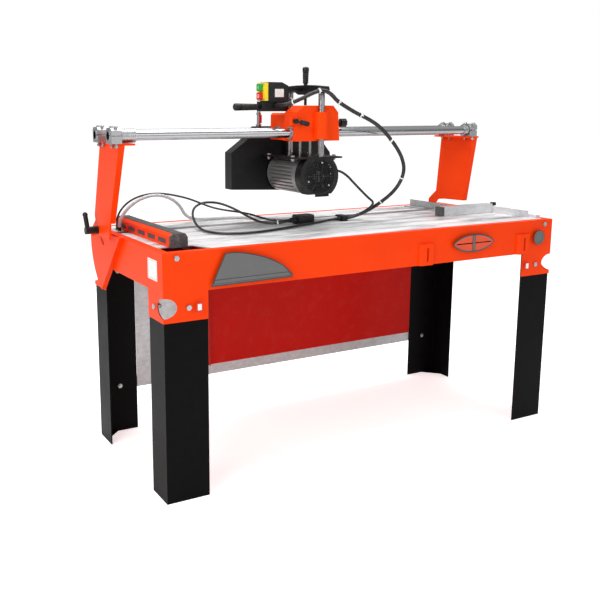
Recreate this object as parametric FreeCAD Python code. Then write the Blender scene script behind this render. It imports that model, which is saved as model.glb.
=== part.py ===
import FreeCAD, Part
import math
import os

# Bridge-type wet tile cutter. Millimetres. The origin is on the floor under the middle of the
# object's box; X runs along the table, +Y points to the rear, +Z is up. The operator stands at -X.

V = FreeCAD.Vector

# ---------------------------------------------------------------- driving sizes
# frame
frame_length = 1634.0
frame_width = 654.0
frame_x = 45.0            # middle of the frame along X, because the left arm stands outside it
rim_height = 800.0
apron_height = 125.0
sheet = 3.0
rim_flange = 28.0
basin_depth = 109.0
socket_length = 150.0
socket_width = 120.0
socket_drop = 90.0
hand_hold_radius = 32.0
hand_hold_drop = 44.0
leg_sheet = 4.0
leg_foot = 70.0
bolt_radius = 5.0
bolt_clearance = 0.4
bolt_from_corner = 83.0
side_bolt_from_corner = 63.0
bolt_drop = 47.0
apron_screw_from_corner = 45.0
apron_screw_drop = 17.0
stay_width = 66.0
stay_height = 76.0
stay_depth = 12.0
stay_slot = 8.0
stay_places = (233.0, 707.0)            # rear sheets
rail_bottom = 165.0
rail_height = 45.0
rail_bolt_height = 182.0
rail_bolt_from_corner = 80.0
panel_left = -315.0
panel_fold = 20.0
# table
plank_sheet = 3.0
plank_skirt = 22.0
plank_gap = 3.0
blade_slot = 50.0
groove_width = 9.0
groove_depth = 1.2
support_width = 30.0
support_height = 60.0
support_notch = 35.0
support_places = (-475.0, -85.0, 305.0, 640.0)
stop_bar_width = 55.0
stop_bar_height = 42.0
stop_bar_length = 500.0
stop_bar_left = -710.0
stop_bar_front = -250.0
cap_length = 12.0
fence_tube = 36.0
fence_wall = 2.0
fence_reach = 258.0
fence_place = -50.0
fence_forward = 45.0
fence_back = 20.0
fence_rail_inset = 50.0
fence_rail_width = 20.0
fence_rail_height = 12.0
fence_blade_length = 200.0
fence_blade_height = 26.0
fence_blade_thickness = 10.0
saddle_thickness = 10.0
knob_screw_radius = 4.0
knob_rise = 5.0
slide_gap = 0.3
# water pump
pump_x = -723.0
pump_y = 180.0
pump_radius = 36.0
pump_height = 66.0
hose_radius = 6.0
pump_cable_radius = 3.5
spigot_rise = 12.0
# bridge
blade_y = 138.0
pivot_height = 815.0
pin_radius = 7.0
pin_clearance = 0.05
arm_sheet = 6.0
arm_flange = 20.0
left_arm_stand_off = 43.0
right_arm_inset = 212.0
arm_top_width = 186.0
arm_top_front = -98.0
arm_height = 1108.0
top_plate = 6.0
left_plate_reach = 54.0
left_plate_overhang = 2.0
right_plate_reach = 35.0
right_plate_overhang = 25.0
tube_radius = 16.0
tube_rise = 24.0
front_tube_y = -78.0
rear_tube_y = 52.0
left_tube_overhang = 28.0
right_tube_overhang = 13.0
saddle_inset = 3.0
saddle_length = 34.0
saddle_width = 54.0
saddle_cap = 9.0
saddle_split = 3.0
saddle_bolt_radius = 3.5
collar_length = 48.0
collar_radius = 22.0
quadrant_sheet = 6.0
quadrant_stand_off = 11.0
pin_reach = 22.0
guide_reach = 60.0
guide_drop_angle = 20.0
guide_radius = 5.0
guide_clearance = 1.0
tilt_range = 45.0
lever_gap = 0.3
lever_hub_radius = 13.0
lever_hub_length = 44.0
# carriage, whose middle is carriage_x at rest
carriage_x = -90.0
casting_depth = 80.0
casting_front = -112.0
casting_bottom = 1110.0
casting_shoulder = 99.0
casting_top = 122.0
rear_block_left = 64.0
rear_block_right = 66.0
rear_block_height = 96.0
rear_wall = 9.0
column_boss_radius = 25.0
bush_radius = 22.0
bush_length = 30.0
bush_proud = 6.0
running_gap = 0.05
# plunging head
column_radius = 11.0
column_shift = 8.0
front_column_y = -120.0
rear_column_y = 88.0
column_top = 1279.0
plate_top = 1056.0
plate_sheet = 6.0
plate_left = 103.0
plate_right = 86.0
plate_front = -140.0
plate_rear = 110.0
rod_radius = 5.0
rod_y = -15.0
rod_top = 1196.0
yoke_height = 24.0
yoke_width = 36.0
yoke_end = 24.0
yoke_boss = 9.0
spindle_radius = 5.0
grip_radius = 12.0
top_grip_length = 66.0
motor_shift = -7.0
motor_radius = 72.0
motor_flat = 62.0
motor_front = -100.0
motor_rear = 106.0
fin_count = 9
fin_depth = 7.0
fin_gap = 5.0
cover_radius = 79.0
cover_wall = 1.5
cover_front = -138.0
shaft_radius = 12.5
guard_gap = 6.0
guard_thickness = 52.0
guard_wall = 3.0
guard_bottom = 930.0
guard_top = 1157.0
guard_slope = 20.0
flap_drop = 26.0
flap_length = 64.0
flap_sheet = 4.0
flap_margin = 7.0
flange_radius = 35.0
switch_width = 60.0
switch_shift = 72.0
switch_y = 0.0
switch_bottom = 1246.0
switch_height = 66.0
switch_depth = 80.0
face_depth = 13.0
button_size = 24.0
button_proud = 12.0
button_travel = 4.0
button_gap = 0.4
bracket_height = 34.0
side_grip_length = 100.0
bracket_reach = 21.0
bracket_plate = 12.0
valve_height = 54.0
lead_radius = 7.0
motor_cable_radius = 4.5

# ---------------------------------------------------------------- derived sizes
half_length = frame_length / 2
half_width = frame_width / 2
frame_left = frame_x - half_length
frame_right = frame_x + half_length
left_arm_x = frame_left - left_arm_stand_off
right_arm_x = frame_right - right_arm_inset
apron_bottom = rim_height - apron_height
basin_floor = rim_height - basin_depth
socket_bottom = apron_bottom - socket_drop
plank_left = frame_left + sheet + rim_flange - plank_gap
plank_right = frame_right - sheet - rim_flange + plank_gap
plank_front = -half_width + rim_flange
plank_rear = half_width - rim_flange
plank_bottom = rim_height - plank_skirt
slot_front = blade_y - blade_slot / 2
slot_rear = blade_y + blade_slot / 2
tube_height = arm_height + top_plate + tube_rise
casting_left = carriage_x - 92.0
casting_right = carriage_x + 91.0
column_x = carriage_x + column_shift
motor_x = carriage_x + motor_shift
motor_height = plate_top - plate_sheet - motor_flat
guard_front = motor_rear + guard_gap
guard_rear = guard_front + guard_thickness
arm_top_rear = arm_top_front + arm_top_width
casting_rear = rear_column_y + column_radius + rear_wall
yoke_top = column_top + yoke_height
saddle_top = tube_height + tube_radius + saddle_cap
tube_left = left_arm_x - left_tube_overhang
tube_right = right_arm_x + right_tube_overhang
quadrant_outer = frame_left - quadrant_stand_off - quadrant_sheet


# ---------------------------------------------------------------- shape helpers
def box(x0, x1, y0, y1, z0, z1):
    """A block between two corners."""
    return Part.makeBox(x1 - x0, y1 - y0, z1 - z0, V(x0, y0, z0))


def rod(start, end, radius):
    """A round bar between two points."""
    line = V(*end) - V(*start)
    return Part.makeCylinder(radius, line.Length, V(*start), line)


def plate_yz(points, x0, x1):
    """An outline in Y and Z, given thickness along X."""
    corners = [V(x0, y, z) for y, z in points]
    face = Part.Face(Part.makePolygon(corners + corners[:1]))
    return face.extrude(V(x1 - x0, 0, 0))


def plate_xz(points, y0, y1):
    """An outline in X and Z, given thickness along Y."""
    corners = [V(x, y0, z) for x, z in points]
    face = Part.Face(Part.makePolygon(corners + corners[:1]))
    return face.extrude(V(0, y1 - y0, 0))


def plate_xy(points, z0, z1):
    """An outline in X and Y, given thickness along Z."""
    corners = [V(x, y, z0) for x, y in points]
    face = Part.Face(Part.makePolygon(corners + corners[:1]))
    return face.extrude(V(0, 0, z1 - z0))


def hexagon(centre, direction, across, height):
    """A hexagonal prism that starts at centre and rises along direction."""
    radius = across / math.sqrt(3)
    turn = FreeCAD.Rotation(V(0, 0, 1), V(*direction))
    corners = []
    for side in range(6):
        angle = math.radians(60 * side)
        corner = V(radius * math.cos(angle), radius * math.sin(angle), 0)
        corners.append(V(*centre) + turn.multVec(corner))
    face = Part.Face(Part.makePolygon(corners + corners[:1]))
    return face.extrude(V(*direction).normalize() * height)


def bolt(seat, direction, grip, radius=bolt_radius):
    """A hexagon bolt whose head sits on seat, with a nut past the thickness that it grips."""
    into = V(*direction).normalize()
    start = V(*seat)
    shank_end = start + into * (grip + 2.4 * radius)
    head = hexagon(tuple(start - into * 1.3 * radius), tuple(into), 3.2 * radius, 1.3 * radius)
    shank = rod(tuple(start), tuple(shank_end), radius)
    nut = hexagon(tuple(start + into * grip), tuple(into), 3.2 * radius, 1.6 * radius)
    return head.fuse(shank).fuse(nut).removeSplitter()


def joined(shapes):
    """Several shapes that overlap, as one solid."""
    whole = shapes[0].fuse(shapes[1:])
    return whole.removeSplitter()


def pipe(points, radius):
    """A cord along straight runs joined by tangent arcs; returns its solid, and prints its bends."""
    path = [V(*p) for p in points]
    edges = []
    start = path[0]
    radii = []
    for before, corner, after in zip(path, path[1:], path[2:]):
        come = (corner - before)
        leave = (after - corner)
        turn = come.getAngle(leave)
        reach = 0.45 * min(come.Length, leave.Length)
        radii.append(reach / math.tan(turn / 2))
        come.normalize()
        leave.normalize()
        arc_start = corner - come * reach
        arc_end = corner + leave * reach
        toward = (leave - come).normalize()
        middle = corner + toward * (radii[-1] / math.cos(turn / 2) - radii[-1])
        edges.append(Part.LineSegment(start, arc_start).toShape())
        edges.append(Part.Arc(arc_start, middle, arc_end).toShape())
        start = arc_end
    edges.append(Part.LineSegment(start, path[-1]).toShape())
    wire = Part.Wire(edges)
    ring = Part.Wire(Part.makeCircle(radius, path[0], path[1] - path[0]))
    solid = wire.makePipeShell([ring], True, False)
    expected = math.pi * radius ** 2 * wire.Length
    tightest = min(radii)
    print(f"cord length {wire.Length:.0f} radius {radius} tightest bend {tightest:.0f}"
          f" volume {solid.Volume / expected:.4f}")
    return solid


# ---------------------------------------------------------------- frame and legs
def corners():
    """The four corners of the frame, as names and signs."""
    return (("front_left", -1, -1), ("front_right", 1, -1), ("rear_left", -1, 1), ("rear_right", 1, 1))


def hand_hold(side_x, side_y, radius):
    """The round cut through a corner, along the corner's diagonal."""
    corner_x = frame_x + side_x * half_length
    corner_y = side_y * half_width
    height = apron_bottom - hand_hold_drop
    reach = 2.2 * radius
    start = (corner_x + side_x * reach, corner_y + side_y * reach, height)
    end = (corner_x - side_x * reach, corner_y - side_y * reach, height)
    return rod(start, end, radius)


def corner_bolts(side_x, side_y):
    """Seats and directions of the two bolts that hold one leg in its socket."""
    corner_x = frame_x + side_x * half_length
    corner_y = side_y * half_width
    height = apron_bottom - bolt_drop
    front = ((corner_x - side_x * bolt_from_corner, corner_y, height), (0, -side_y, 0))
    side = ((corner_x, corner_y - side_y * side_bolt_from_corner, height), (-side_x, 0, 0))
    return front, side


def clearance_hole(seat, direction, depth=24.0, radius=bolt_radius):
    """The hole for a bolt, through everything that it grips."""
    into = V(*direction).normalize()
    start = V(*seat) - into * 6
    return rod(tuple(start), tuple(start + into * (depth + 6)), radius + bolt_clearance)


def apron_screws():
    """Seats and directions of the screws near the apron's front corners."""
    height = rim_height - apron_screw_drop
    seats = []
    for side_x in (-1, 1):
        x = frame_x + side_x * (half_length - apron_screw_from_corner)
        seats.append(((x, -half_width, height), (0, 1, 0)))
    return seats


def rail_bolts():
    """Seats and directions of the bolts that hold the rear rail to the rear legs."""
    seats = []
    for side_x in (-1, 1):
        x = frame_x + side_x * (half_length - rail_bolt_from_corner)
        seats.append(((x, half_width, rail_bolt_height), (0, -1, 0)))
    return seats


def frame_tray():
    """The sheet-metal basin: apron, rim, floor and the four corner sockets."""
    shell = box(frame_left, frame_right, -half_width, half_width, apron_bottom, rim_height)
    shell = shell.cut(box(frame_left + sheet, frame_right - sheet, -half_width + sheet,
                          half_width - sheet, apron_bottom, rim_height - sheet))
    shell = shell.cut(box(frame_left + rim_flange, frame_right - rim_flange,
                          -half_width + rim_flange, half_width - rim_flange,
                          rim_height - sheet, rim_height))
    floor = box(frame_left + sheet, frame_right - sheet, -half_width + sheet, half_width - sheet,
                basin_floor - sheet, basin_floor)
    pieces = [shell, floor]
    for _, side_x, side_y in corners():
        x = frame_x + side_x * half_length
        y = side_y * half_width
        xs = sorted((x, x - side_x * socket_length))
        ys = sorted((y, y - side_y * sheet))
        pieces.append(box(xs[0], xs[1], ys[0], ys[1], socket_bottom, apron_bottom))
        xs = sorted((x, x - side_x * sheet))
        ys = sorted((y, y - side_y * socket_width))
        pieces.append(box(xs[0], xs[1], ys[0], ys[1], socket_bottom, apron_bottom))
    for x in stay_places:
        top = apron_bottom + stay_height
        block = box(x - stay_width / 2, x + stay_width / 2, -half_width - stay_depth, -half_width,
                    apron_bottom, top)
        edges = [e for e in block.Edges if abs(e.BoundBox.YMin + half_width + stay_depth) < 0.1
                 and e.BoundBox.ZLength > 1]
        block = block.makeChamfer(stay_depth * 0.7, edges)
        slot = box(x - stay_slot / 2, x + stay_slot / 2, -half_width - stay_depth,
                   -half_width, apron_bottom + 14, top - 14)
        pieces.append(block.cut(slot))
    tray = joined(pieces)
    cuts = [hand_hold(sx, sy, hand_hold_radius) for _, sx, sy in corners()]
    for _, side_x, side_y in corners():
        cuts += [clearance_hole(*place) for place in corner_bolts(side_x, side_y)]
    cuts += [clearance_hole(*place, depth=sheet + 1) for place in apron_screws()]
    return tray.cut(cuts)


def leg(side_x, side_y):
    """One folded leg with its foot plate, standing inside a corner socket."""
    x = frame_x + side_x * (half_length - sheet)
    y = side_y * (half_width - sheet)
    top = basin_floor - sheet - 4
    xs = sorted((x, x - side_x * (socket_length - sheet)))
    ys = sorted((y, y - side_y * leg_sheet))
    wide = box(xs[0], xs[1], ys[0], ys[1], 0, top)
    xs = sorted((x, x - side_x * leg_sheet))
    ys = sorted((y, y - side_y * (socket_width - sheet)))
    narrow = box(xs[0], xs[1], ys[0], ys[1], 0, top)
    foot = plate_xy([(x, y), (x - side_x * leg_foot, y), (x, y - side_y * leg_foot)], 0, leg_sheet)
    hole = rod((x - side_x * leg_foot / 3, y - side_y * leg_foot / 3, -1),
               (x - side_x * leg_foot / 3, y - side_y * leg_foot / 3, leg_sheet + 1), 6)
    whole = joined([wide, narrow, foot]).cut(hole)
    cuts = [hand_hold(side_x, side_y, hand_hold_radius + 2)]
    cuts += [clearance_hole(*place) for place in corner_bolts(side_x, side_y)]
    if side_y > 0:
        cuts += [clearance_hole(*place) for place in rail_bolts()]
    return whole.cut(cuts)


def pivot_pins():
    """The two pins that the bridge turns on; the left one is the stud of the clamping lever."""
    inner = quadrant_outer + quadrant_sheet
    left = rod((inner + 10, blade_y, pivot_height), (left_arm_x - lever_hub_length / 2, blade_y,
                                                     pivot_height), pin_radius)
    nut = hexagon((inner, blade_y, pivot_height), (1, 0, 0), 19, 8)
    start = right_arm_x - 9
    end = right_arm_x + arm_sheet + 1
    right = rod((start, blade_y, pivot_height), (end, blade_y, pivot_height), pin_radius)
    head = rod((end, blade_y, pivot_height), (end + 5, blade_y, pivot_height), pin_radius + 3)
    return [joined([left, nut]), joined([right, head])]


def frame_fasteners():
    """Leg bolts, apron screws, rail bolts and the bridge's pivot pins, all separate solids."""
    solids = []
    for _, side_x, side_y in corners():
        for seat, direction in corner_bolts(side_x, side_y):
            solids.append(bolt(seat, direction, sheet + leg_sheet))
    for seat, direction in apron_screws():
        solids.append(bolt(seat, direction, sheet, bolt_radius))
    for seat, direction in rail_bolts():
        solids.append(bolt(seat, direction, sheet + leg_sheet))
    return Part.makeCompound(solids + pivot_pins())


def rear_rail():
    """The galvanised rail between the rear legs, with the sheet at its left end."""
    left = frame_left + 60
    right = frame_right - 60
    rail = box(left, right, half_width - sheet, half_width, rail_bottom, rail_bottom + rail_height)
    inner_left = frame_left + socket_length + 2
    sheet_left = box(inner_left, panel_left - 2, half_width - 2 * sheet, half_width - sheet,
                     rail_bottom + 4, basin_floor - sheet - 4)
    whole = joined([rail, sheet_left])
    return whole.cut([clearance_hole(*place) for place in rail_bolts()])


def rear_panel():
    """The painted rear sheet that hangs from the frame to the rail, with a folded left edge."""
    right = frame_right - socket_length - 2
    top = basin_floor - sheet - 4
    bottom = rail_bottom + rail_height - 4
    face = box(panel_left, right, half_width - 2 * sheet, half_width - sheet, bottom, top)
    fold = box(panel_left, panel_left + sheet, half_width - sheet - panel_fold, half_width - sheet,
               bottom, top)
    return joined([face, fold])


def labels():
    """Plain blank plates and stickers, as separate thin solids on the apron."""
    face = -half_width
    thick = 0.8
    badge = [(-619, 686), (-569, 788), (-501, 784), (-421, 762), (-361, 732), (-327, 700),
             (-327, 690)]
    solids = [plate_xz(badge, face - thick, face)]
    middle_x = frame_x + 403.0
    middle_z = rim_height - 61.0
    half = 98.0
    rise = 33.0
    left = V(middle_x - half, face, middle_z)
    right = V(middle_x + half, face, middle_z)
    upper = Part.Arc(left, V(middle_x, face, middle_z + rise), right).toShape()
    lower = Part.Arc(right, V(middle_x, face, middle_z - rise), left).toShape()
    oval = Part.Face(Part.Wire([upper, lower]))
    solids.append(oval.extrude(V(0, -thick, 0)))
    disc_x = frame_right - 80.0
    solids.append(rod((disc_x, face, rim_height - 66), (disc_x, face - thick, rim_height - 66), 28))
    for x in (frame_left + 115.0, frame_right - 135.0):
        z = apron_bottom - bolt_drop
        solids.append(box(x - 11, x + 11, face - thick, face, z - 14, z + 14))
    solids.append(box(frame_left - thick, frame_left, -285, -210, rim_height - 92, rim_height - 28))
    return Part.makeCompound(solids)


def quadrant_plate():
    """The mitre quadrant on the left end: a plate with an arc slot, on flanges off the apron."""
    x0 = quadrant_outer
    x1 = x0 + quadrant_sheet
    front = V(x0, -5, rim_height + 4)
    rear = V(x0, 303, rim_height - 10)
    low = V(x0, 200, rim_height - 208)
    outer_arc = Part.Arc(rear, V(x0, 284, rim_height - 118), low).toShape()
    outline = Part.Wire([Part.makeLine(front, rear), outer_arc, Part.makeLine(low, front)])
    plate = Part.Face(outline).extrude(V(quadrant_sheet, 0, 0))
    lug = rod((x0, blade_y, pivot_height), (x1, blade_y, pivot_height), pin_reach)
    diagonal = plate_yz([(-5, rim_height + 4), (200, rim_height - 208), (205, rim_height - 204),
                         (0, rim_height + 8)], x0, frame_left)
    top_flange = box(x1, frame_left, 20, 290, rim_height - 22, rim_height - 16)
    whole = joined([plate, lug, diagonal, top_flange])
    ring = rod((x0, blade_y, pivot_height), (x1, blade_y, pivot_height),
               guide_reach + guide_radius + guide_clearance)
    ring = ring.cut(rod((x0, blade_y, pivot_height), (x1, blade_y, pivot_height),
                        guide_reach - guide_radius - guide_clearance))
    far = 3 * guide_reach
    first = math.radians(guide_drop_angle)
    last = math.radians(guide_drop_angle + tilt_range)
    wedge = plate_yz([(blade_y, pivot_height),
                      (blade_y + far * math.cos(first), pivot_height - far * math.sin(first)),
                      (blade_y + far * math.cos(last), pivot_height - far * math.sin(last))], x0, x1)
    cuts = [ring.common(wedge), rod((x0, blade_y, pivot_height), (x1, blade_y, pivot_height),
                                    pin_radius)]
    for angle in (first, last):
        y = blade_y + guide_reach * math.cos(angle)
        z = pivot_height - guide_reach * math.sin(angle)
        cuts.append(rod((x0, y, z), (x1, y, z), guide_radius + guide_clearance))
    return whole.cut(cuts)


def pivot_bracket():
    """The galvanised angle on the right of the table that carries the right-hand pin."""
    x1 = right_arm_x - 5
    y0 = blade_y - 148
    y1 = blade_y + 124
    upright = box(x1 - 4, x1, y0, y1, rim_height, rim_height + 32)
    base = box(x1 - 36, x1, y0, y1, rim_height, rim_height + 4)
    hole = rod((x1 - 5, blade_y, pivot_height), (x1 + 1, blade_y, pivot_height), pin_radius)
    window = box(x1 - 36, x1 - 4, slot_front - 3, slot_rear + 3, rim_height, rim_height + 4)
    return joined([upright, base]).cut([hole, window])


# ---------------------------------------------------------------- table
def plank(y0, y1, grooves):
    """A folded galvanised plank: a top with shallow grooves and a skirt all round."""
    solid = box(plank_left, plank_right, y0, y1, plank_bottom, rim_height)
    hollow = box(plank_left + plank_sheet, plank_right - plank_sheet, y0 + plank_sheet,
                 y1 - plank_sheet, plank_bottom, rim_height - plank_sheet)
    cuts = [hollow]
    for place in grooves:
        y = y0 + (y1 - y0) * place
        cuts.append(box(plank_left + 90, plank_right - 60, y - groove_width / 2,
                        y + groove_width / 2, rim_height - groove_depth, rim_height))
    return solid.cut(cuts)


def table_front():
    """The wide plank in front of the blade slot, with its front left corner cut away."""
    body = plank(plank_front, slot_front, (0.2, 0.4, 0.6, 0.8))
    corner = plate_xy([(plank_left, plank_front), (plank_left + 150, plank_front),
                       (plank_left + 115, plank_front + 72), (plank_left, plank_front + 72)],
                      plank_bottom, rim_height)
    return body.cut(corner)


def table_rear():
    """The narrow plank behind the blade slot, with holes for the pump's hose and cable."""
    body = plank(slot_rear, plank_rear, (0.35, 0.7))
    hose = rod((pump_x, pump_y, plank_bottom), (pump_x, pump_y, rim_height), hose_radius + 4)
    cable = rod((pump_x, pump_y + 28, plank_bottom), (pump_x, pump_y + 28, rim_height),
                pump_cable_radius + 3)
    return body.cut([hose, cable])


def table_supports():
    """Cross members under the planks, notched below the blade slot."""
    solids = []
    top = plank_bottom
    bottom = top - support_height
    for x in support_places:
        bar = box(x - support_width / 2, x + support_width / 2, -half_width + sheet,
                  half_width - sheet, bottom, top)
        notch = box(x - support_width / 2, x + support_width / 2, slot_front - 15, slot_rear + 15,
                    top - support_notch, top)
        solids.append(bar.cut(notch))
    return Part.makeCompound(solids)


def stop_bar():
    """The material stop across the left end: a wedge-sided bar with a ribbed top."""
    left = stop_bar_left
    right = left + stop_bar_width
    top = rim_height + stop_bar_height
    y0 = stop_bar_front + cap_length
    y1 = stop_bar_front + stop_bar_length - cap_length
    corners_xz = [(left, rim_height), (right, rim_height), (right, top - 12), (right - 8, top),
                  (left + 12, top), (left, top - 8)]
    bar = plate_xz(corners_xz, y0, y1)
    ribs = []
    for step in range(4):
        x = left + 17 + step * 7.5
        ribs.append(box(x - 1.5, x + 1.5, y0, y1, top - 1.5, top))
    return bar.cut(ribs)


def stop_bar_caps():
    """The moulded caps that close the two ends of the stop bar."""
    left = stop_bar_left - 1.5
    right = stop_bar_left + stop_bar_width + 1.5
    top = rim_height + stop_bar_height + 1.5
    corners_xz = [(left, rim_height), (right, rim_height), (right, top - 12), (right - 8, top),
                  (left + 12, top), (left, top - 8)]
    front = plate_xz(corners_xz, stop_bar_front, stop_bar_front + cap_length)
    end = stop_bar_front + stop_bar_length
    return Part.makeCompound([front, plate_xz(corners_xz, end - cap_length, end)])


def fence_rail():
    """The fixed guide bar along the right end of the table."""
    x0 = frame_right - fence_rail_inset
    y0 = max(fence_place - fence_blade_length - fence_forward, plank_front + 8)
    y1 = fence_place + fence_back + 30
    return box(x0, x0 + fence_rail_width, y0, y1, rim_height, rim_height + fence_rail_height)


def fence_slider():
    """The sliding square: a hollow tube along X on a flat blade along Y, with a saddle over the rail."""
    rail_x = frame_right - fence_rail_inset
    x1 = rail_x - slide_gap
    x0 = x1 - fence_blade_thickness
    z0 = rim_height + slide_gap
    half = fence_tube / 2
    blade = box(x0, x1, fence_place - fence_blade_length, fence_place + half, z0,
                z0 + fence_blade_height)
    tube = box(x0 - fence_reach, x0, fence_place - half, fence_place + half, z0, z0 + fence_tube)
    bore = box(x0 - fence_reach, x0 - fence_wall, fence_place - half + fence_wall,
               fence_place + half - fence_wall, z0 + fence_wall, z0 + fence_tube - fence_wall)
    saddle_z = rim_height + fence_rail_height + slide_gap
    saddle = box(x0, rail_x + fence_rail_width, fence_place - half, fence_place + half, saddle_z,
                 saddle_z + saddle_thickness)
    hole = rod((rail_x + fence_rail_width / 2, fence_place, saddle_z),
               (rail_x + fence_rail_width / 2, fence_place, saddle_z + saddle_thickness),
               knob_screw_radius + running_gap)
    return joined([blade, tube.cut(bore), saddle]).cut(hole)


def fence_cap():
    """The plug in the open end of the fence tube."""
    x1 = frame_right - fence_rail_inset - slide_gap - fence_blade_thickness - fence_reach
    z0 = rim_height + slide_gap
    half = fence_tube / 2
    head = box(x1 - 16, x1, fence_place - half, fence_place + half, z0, z0 + fence_tube)
    plug = box(x1, x1 + 12, fence_place - half + fence_wall, fence_place + half - fence_wall,
               z0 + fence_wall, z0 + fence_tube - fence_wall)
    return joined([head, plug])


def fence_knob():
    """The clamping knob over the fence's guide bar."""
    x = frame_right - fence_rail_inset + fence_rail_width / 2
    y = fence_place
    low = rim_height + fence_rail_height + slide_gap
    top = low + saddle_thickness
    base = top + knob_rise
    screw = rod((x, y, low), (x, y, base + 1), knob_screw_radius)
    head = rod((x, y, base), (x, y, base + 12), 12)
    notches = []
    for step in range(6):
        angle = math.radians(60 * step)
        place = (x + 14 * math.cos(angle), y + 14 * math.sin(angle))
        notches.append(rod((*place, base), (*place, base + 12), 4))
    return joined([screw, head.cut(notches)])


def pump():
    """The submersible pump in the basin, with its hose spigot and its cable gland."""
    body = rod((pump_x, pump_y, basin_floor), (pump_x, pump_y, basin_floor + pump_height),
               pump_radius)
    spigot = rod((pump_x, pump_y, basin_floor + pump_height),
                 (pump_x, pump_y, rim_height + spigot_rise), hose_radius)
    gland = rod((pump_x, pump_y + 28, basin_floor + pump_height / 2),
                (pump_x, pump_y + 28, rim_height + spigot_rise), pump_cable_radius)
    return joined([body, spigot, gland])


# ---------------------------------------------------------------- bridge
def arm(web_x, outline, reach, overhang, extra):
    """One bridge arm: a web, flanges on its long edges, a top plate and the pivot hole."""
    x0 = web_x
    x1 = web_x + arm_sheet
    inboard = 1 if web_x < 0 else -1
    web = plate_yz(outline, x0, x1)
    flange_x = web_x + arm_flange
    front = [outline[0], (outline[0][0] + arm_sheet, outline[0][1]),
             (outline[-1][0] + arm_sheet, outline[-1][1]), outline[-1]]
    rear = [outline[1], outline[2], (outline[2][0] - arm_sheet, outline[2][1]),
            (outline[1][0] - arm_sheet, outline[1][1])]
    plate_xs = sorted((web_x - inboard * overhang, web_x + inboard * reach))
    cap = box(plate_xs[0], plate_xs[1], arm_top_front - 2, arm_top_rear + 4, arm_height,
              arm_height + top_plate)
    pieces = [web, plate_yz(front, x0, flange_x), plate_yz(rear, x0, flange_x), cap] + extra
    cuts = [rod((x0, blade_y, pivot_height), (x1, blade_y, pivot_height),
                pin_radius + pin_clearance)]
    for seat, direction in saddle_seats():
        cuts.append(clearance_hole(seat, direction, depth=70.0, radius=saddle_bolt_radius))
    return joined(pieces).cut(cuts)


def arm_left():
    """The left arm, outside the frame, with a narrow foot and the bolt that runs in the quadrant."""
    outline = [(arm_top_front, arm_height), (arm_top_rear, arm_height), (169, 862), (162, 846),
               (216, 806), (208, 784), (152, 794), (21, 796), (12, 850)]
    angle = math.radians(guide_drop_angle)
    y = blade_y + guide_reach * math.cos(angle)
    z = pivot_height - guide_reach * math.sin(angle)
    guide = rod((left_arm_x, y, z), (quadrant_outer + quadrant_sheet - slide_gap, y, z), guide_radius)
    guide_head = hexagon((left_arm_x + 1, y, z), (-1, 0, 0), 16, 6)
    return arm(left_arm_x, outline, left_plate_reach, left_plate_overhang, [guide, guide_head])


def arm_right():
    """The right arm, over the table, cut away below so that it clears the table when it tilts."""
    outline = [(arm_top_front, arm_height), (arm_top_rear, arm_height), (108, 884), (152, 846),
               (152, 813), (124, 813), (96, 848), (52, 853), (-56, 856)]
    lug = rod((right_arm_x, blade_y, pivot_height), (right_arm_x + arm_sheet, blade_y, pivot_height),
              pin_radius + 6)
    return arm(right_arm_x, outline, right_plate_reach, right_plate_overhang, [lug])


def saddle_places():
    """The middle of each tube clamp, as X and Y."""
    left = tube_left + saddle_inset + saddle_length / 2
    right = tube_right - saddle_inset - saddle_length / 2
    return [(x, y) for x in (left, right) for y in (front_tube_y, rear_tube_y)]


def saddle_seats():
    """Seats and directions of the clamp bolts, one each side of every tube."""
    seats = []
    for x, y in saddle_places():
        for side in (-1, 1):
            place = y + side * (tube_radius + 5.5)
            seats.append(((x, place, saddle_top), (0, 0, -1)))
    return seats


def tube_saddles():
    """Split clamps that hold the two tubes on the arms, lower block and cap as separate solids."""
    solids = []
    for x, y in saddle_places():
        x0 = x - saddle_length / 2
        x1 = x + saddle_length / 2
        bore = rod((x0, y, tube_height), (x1, y, tube_height), tube_radius)
        lower = box(x0, x1, y - saddle_width / 2, y + saddle_width / 2, arm_height + top_plate,
                    tube_height - saddle_split / 2)
        upper = box(x0, x1, y - saddle_width / 2, y + saddle_width / 2,
                    tube_height + saddle_split / 2, saddle_top)
        edges = [e for e in upper.Edges if e.BoundBox.ZMin > saddle_top - 0.1
                 and e.BoundBox.XLength > 1]
        upper = upper.makeChamfer(8.0, edges)
        holes = [clearance_hole(s, d, depth=70.0, radius=saddle_bolt_radius) for s, d in saddle_seats()]
        solids.append(lower.cut([bore] + holes))
        solids.append(upper.cut([bore] + holes))
    return Part.makeCompound(solids)


def saddle_bolts():
    """The bolts through the tube clamps and the arms' top plates."""
    grip = saddle_top - arm_height
    return Part.makeCompound([bolt(s, d, grip, saddle_bolt_radius) for s, d in saddle_seats()])


def bridge_tube(y):
    """One hollow chromed guide tube."""
    outer = rod((tube_left, y, tube_height), (tube_right, y, tube_height), tube_radius)
    inner = rod((tube_left, y, tube_height), (tube_right, y, tube_height), tube_radius - 3)
    return outer.cut(inner)


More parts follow.
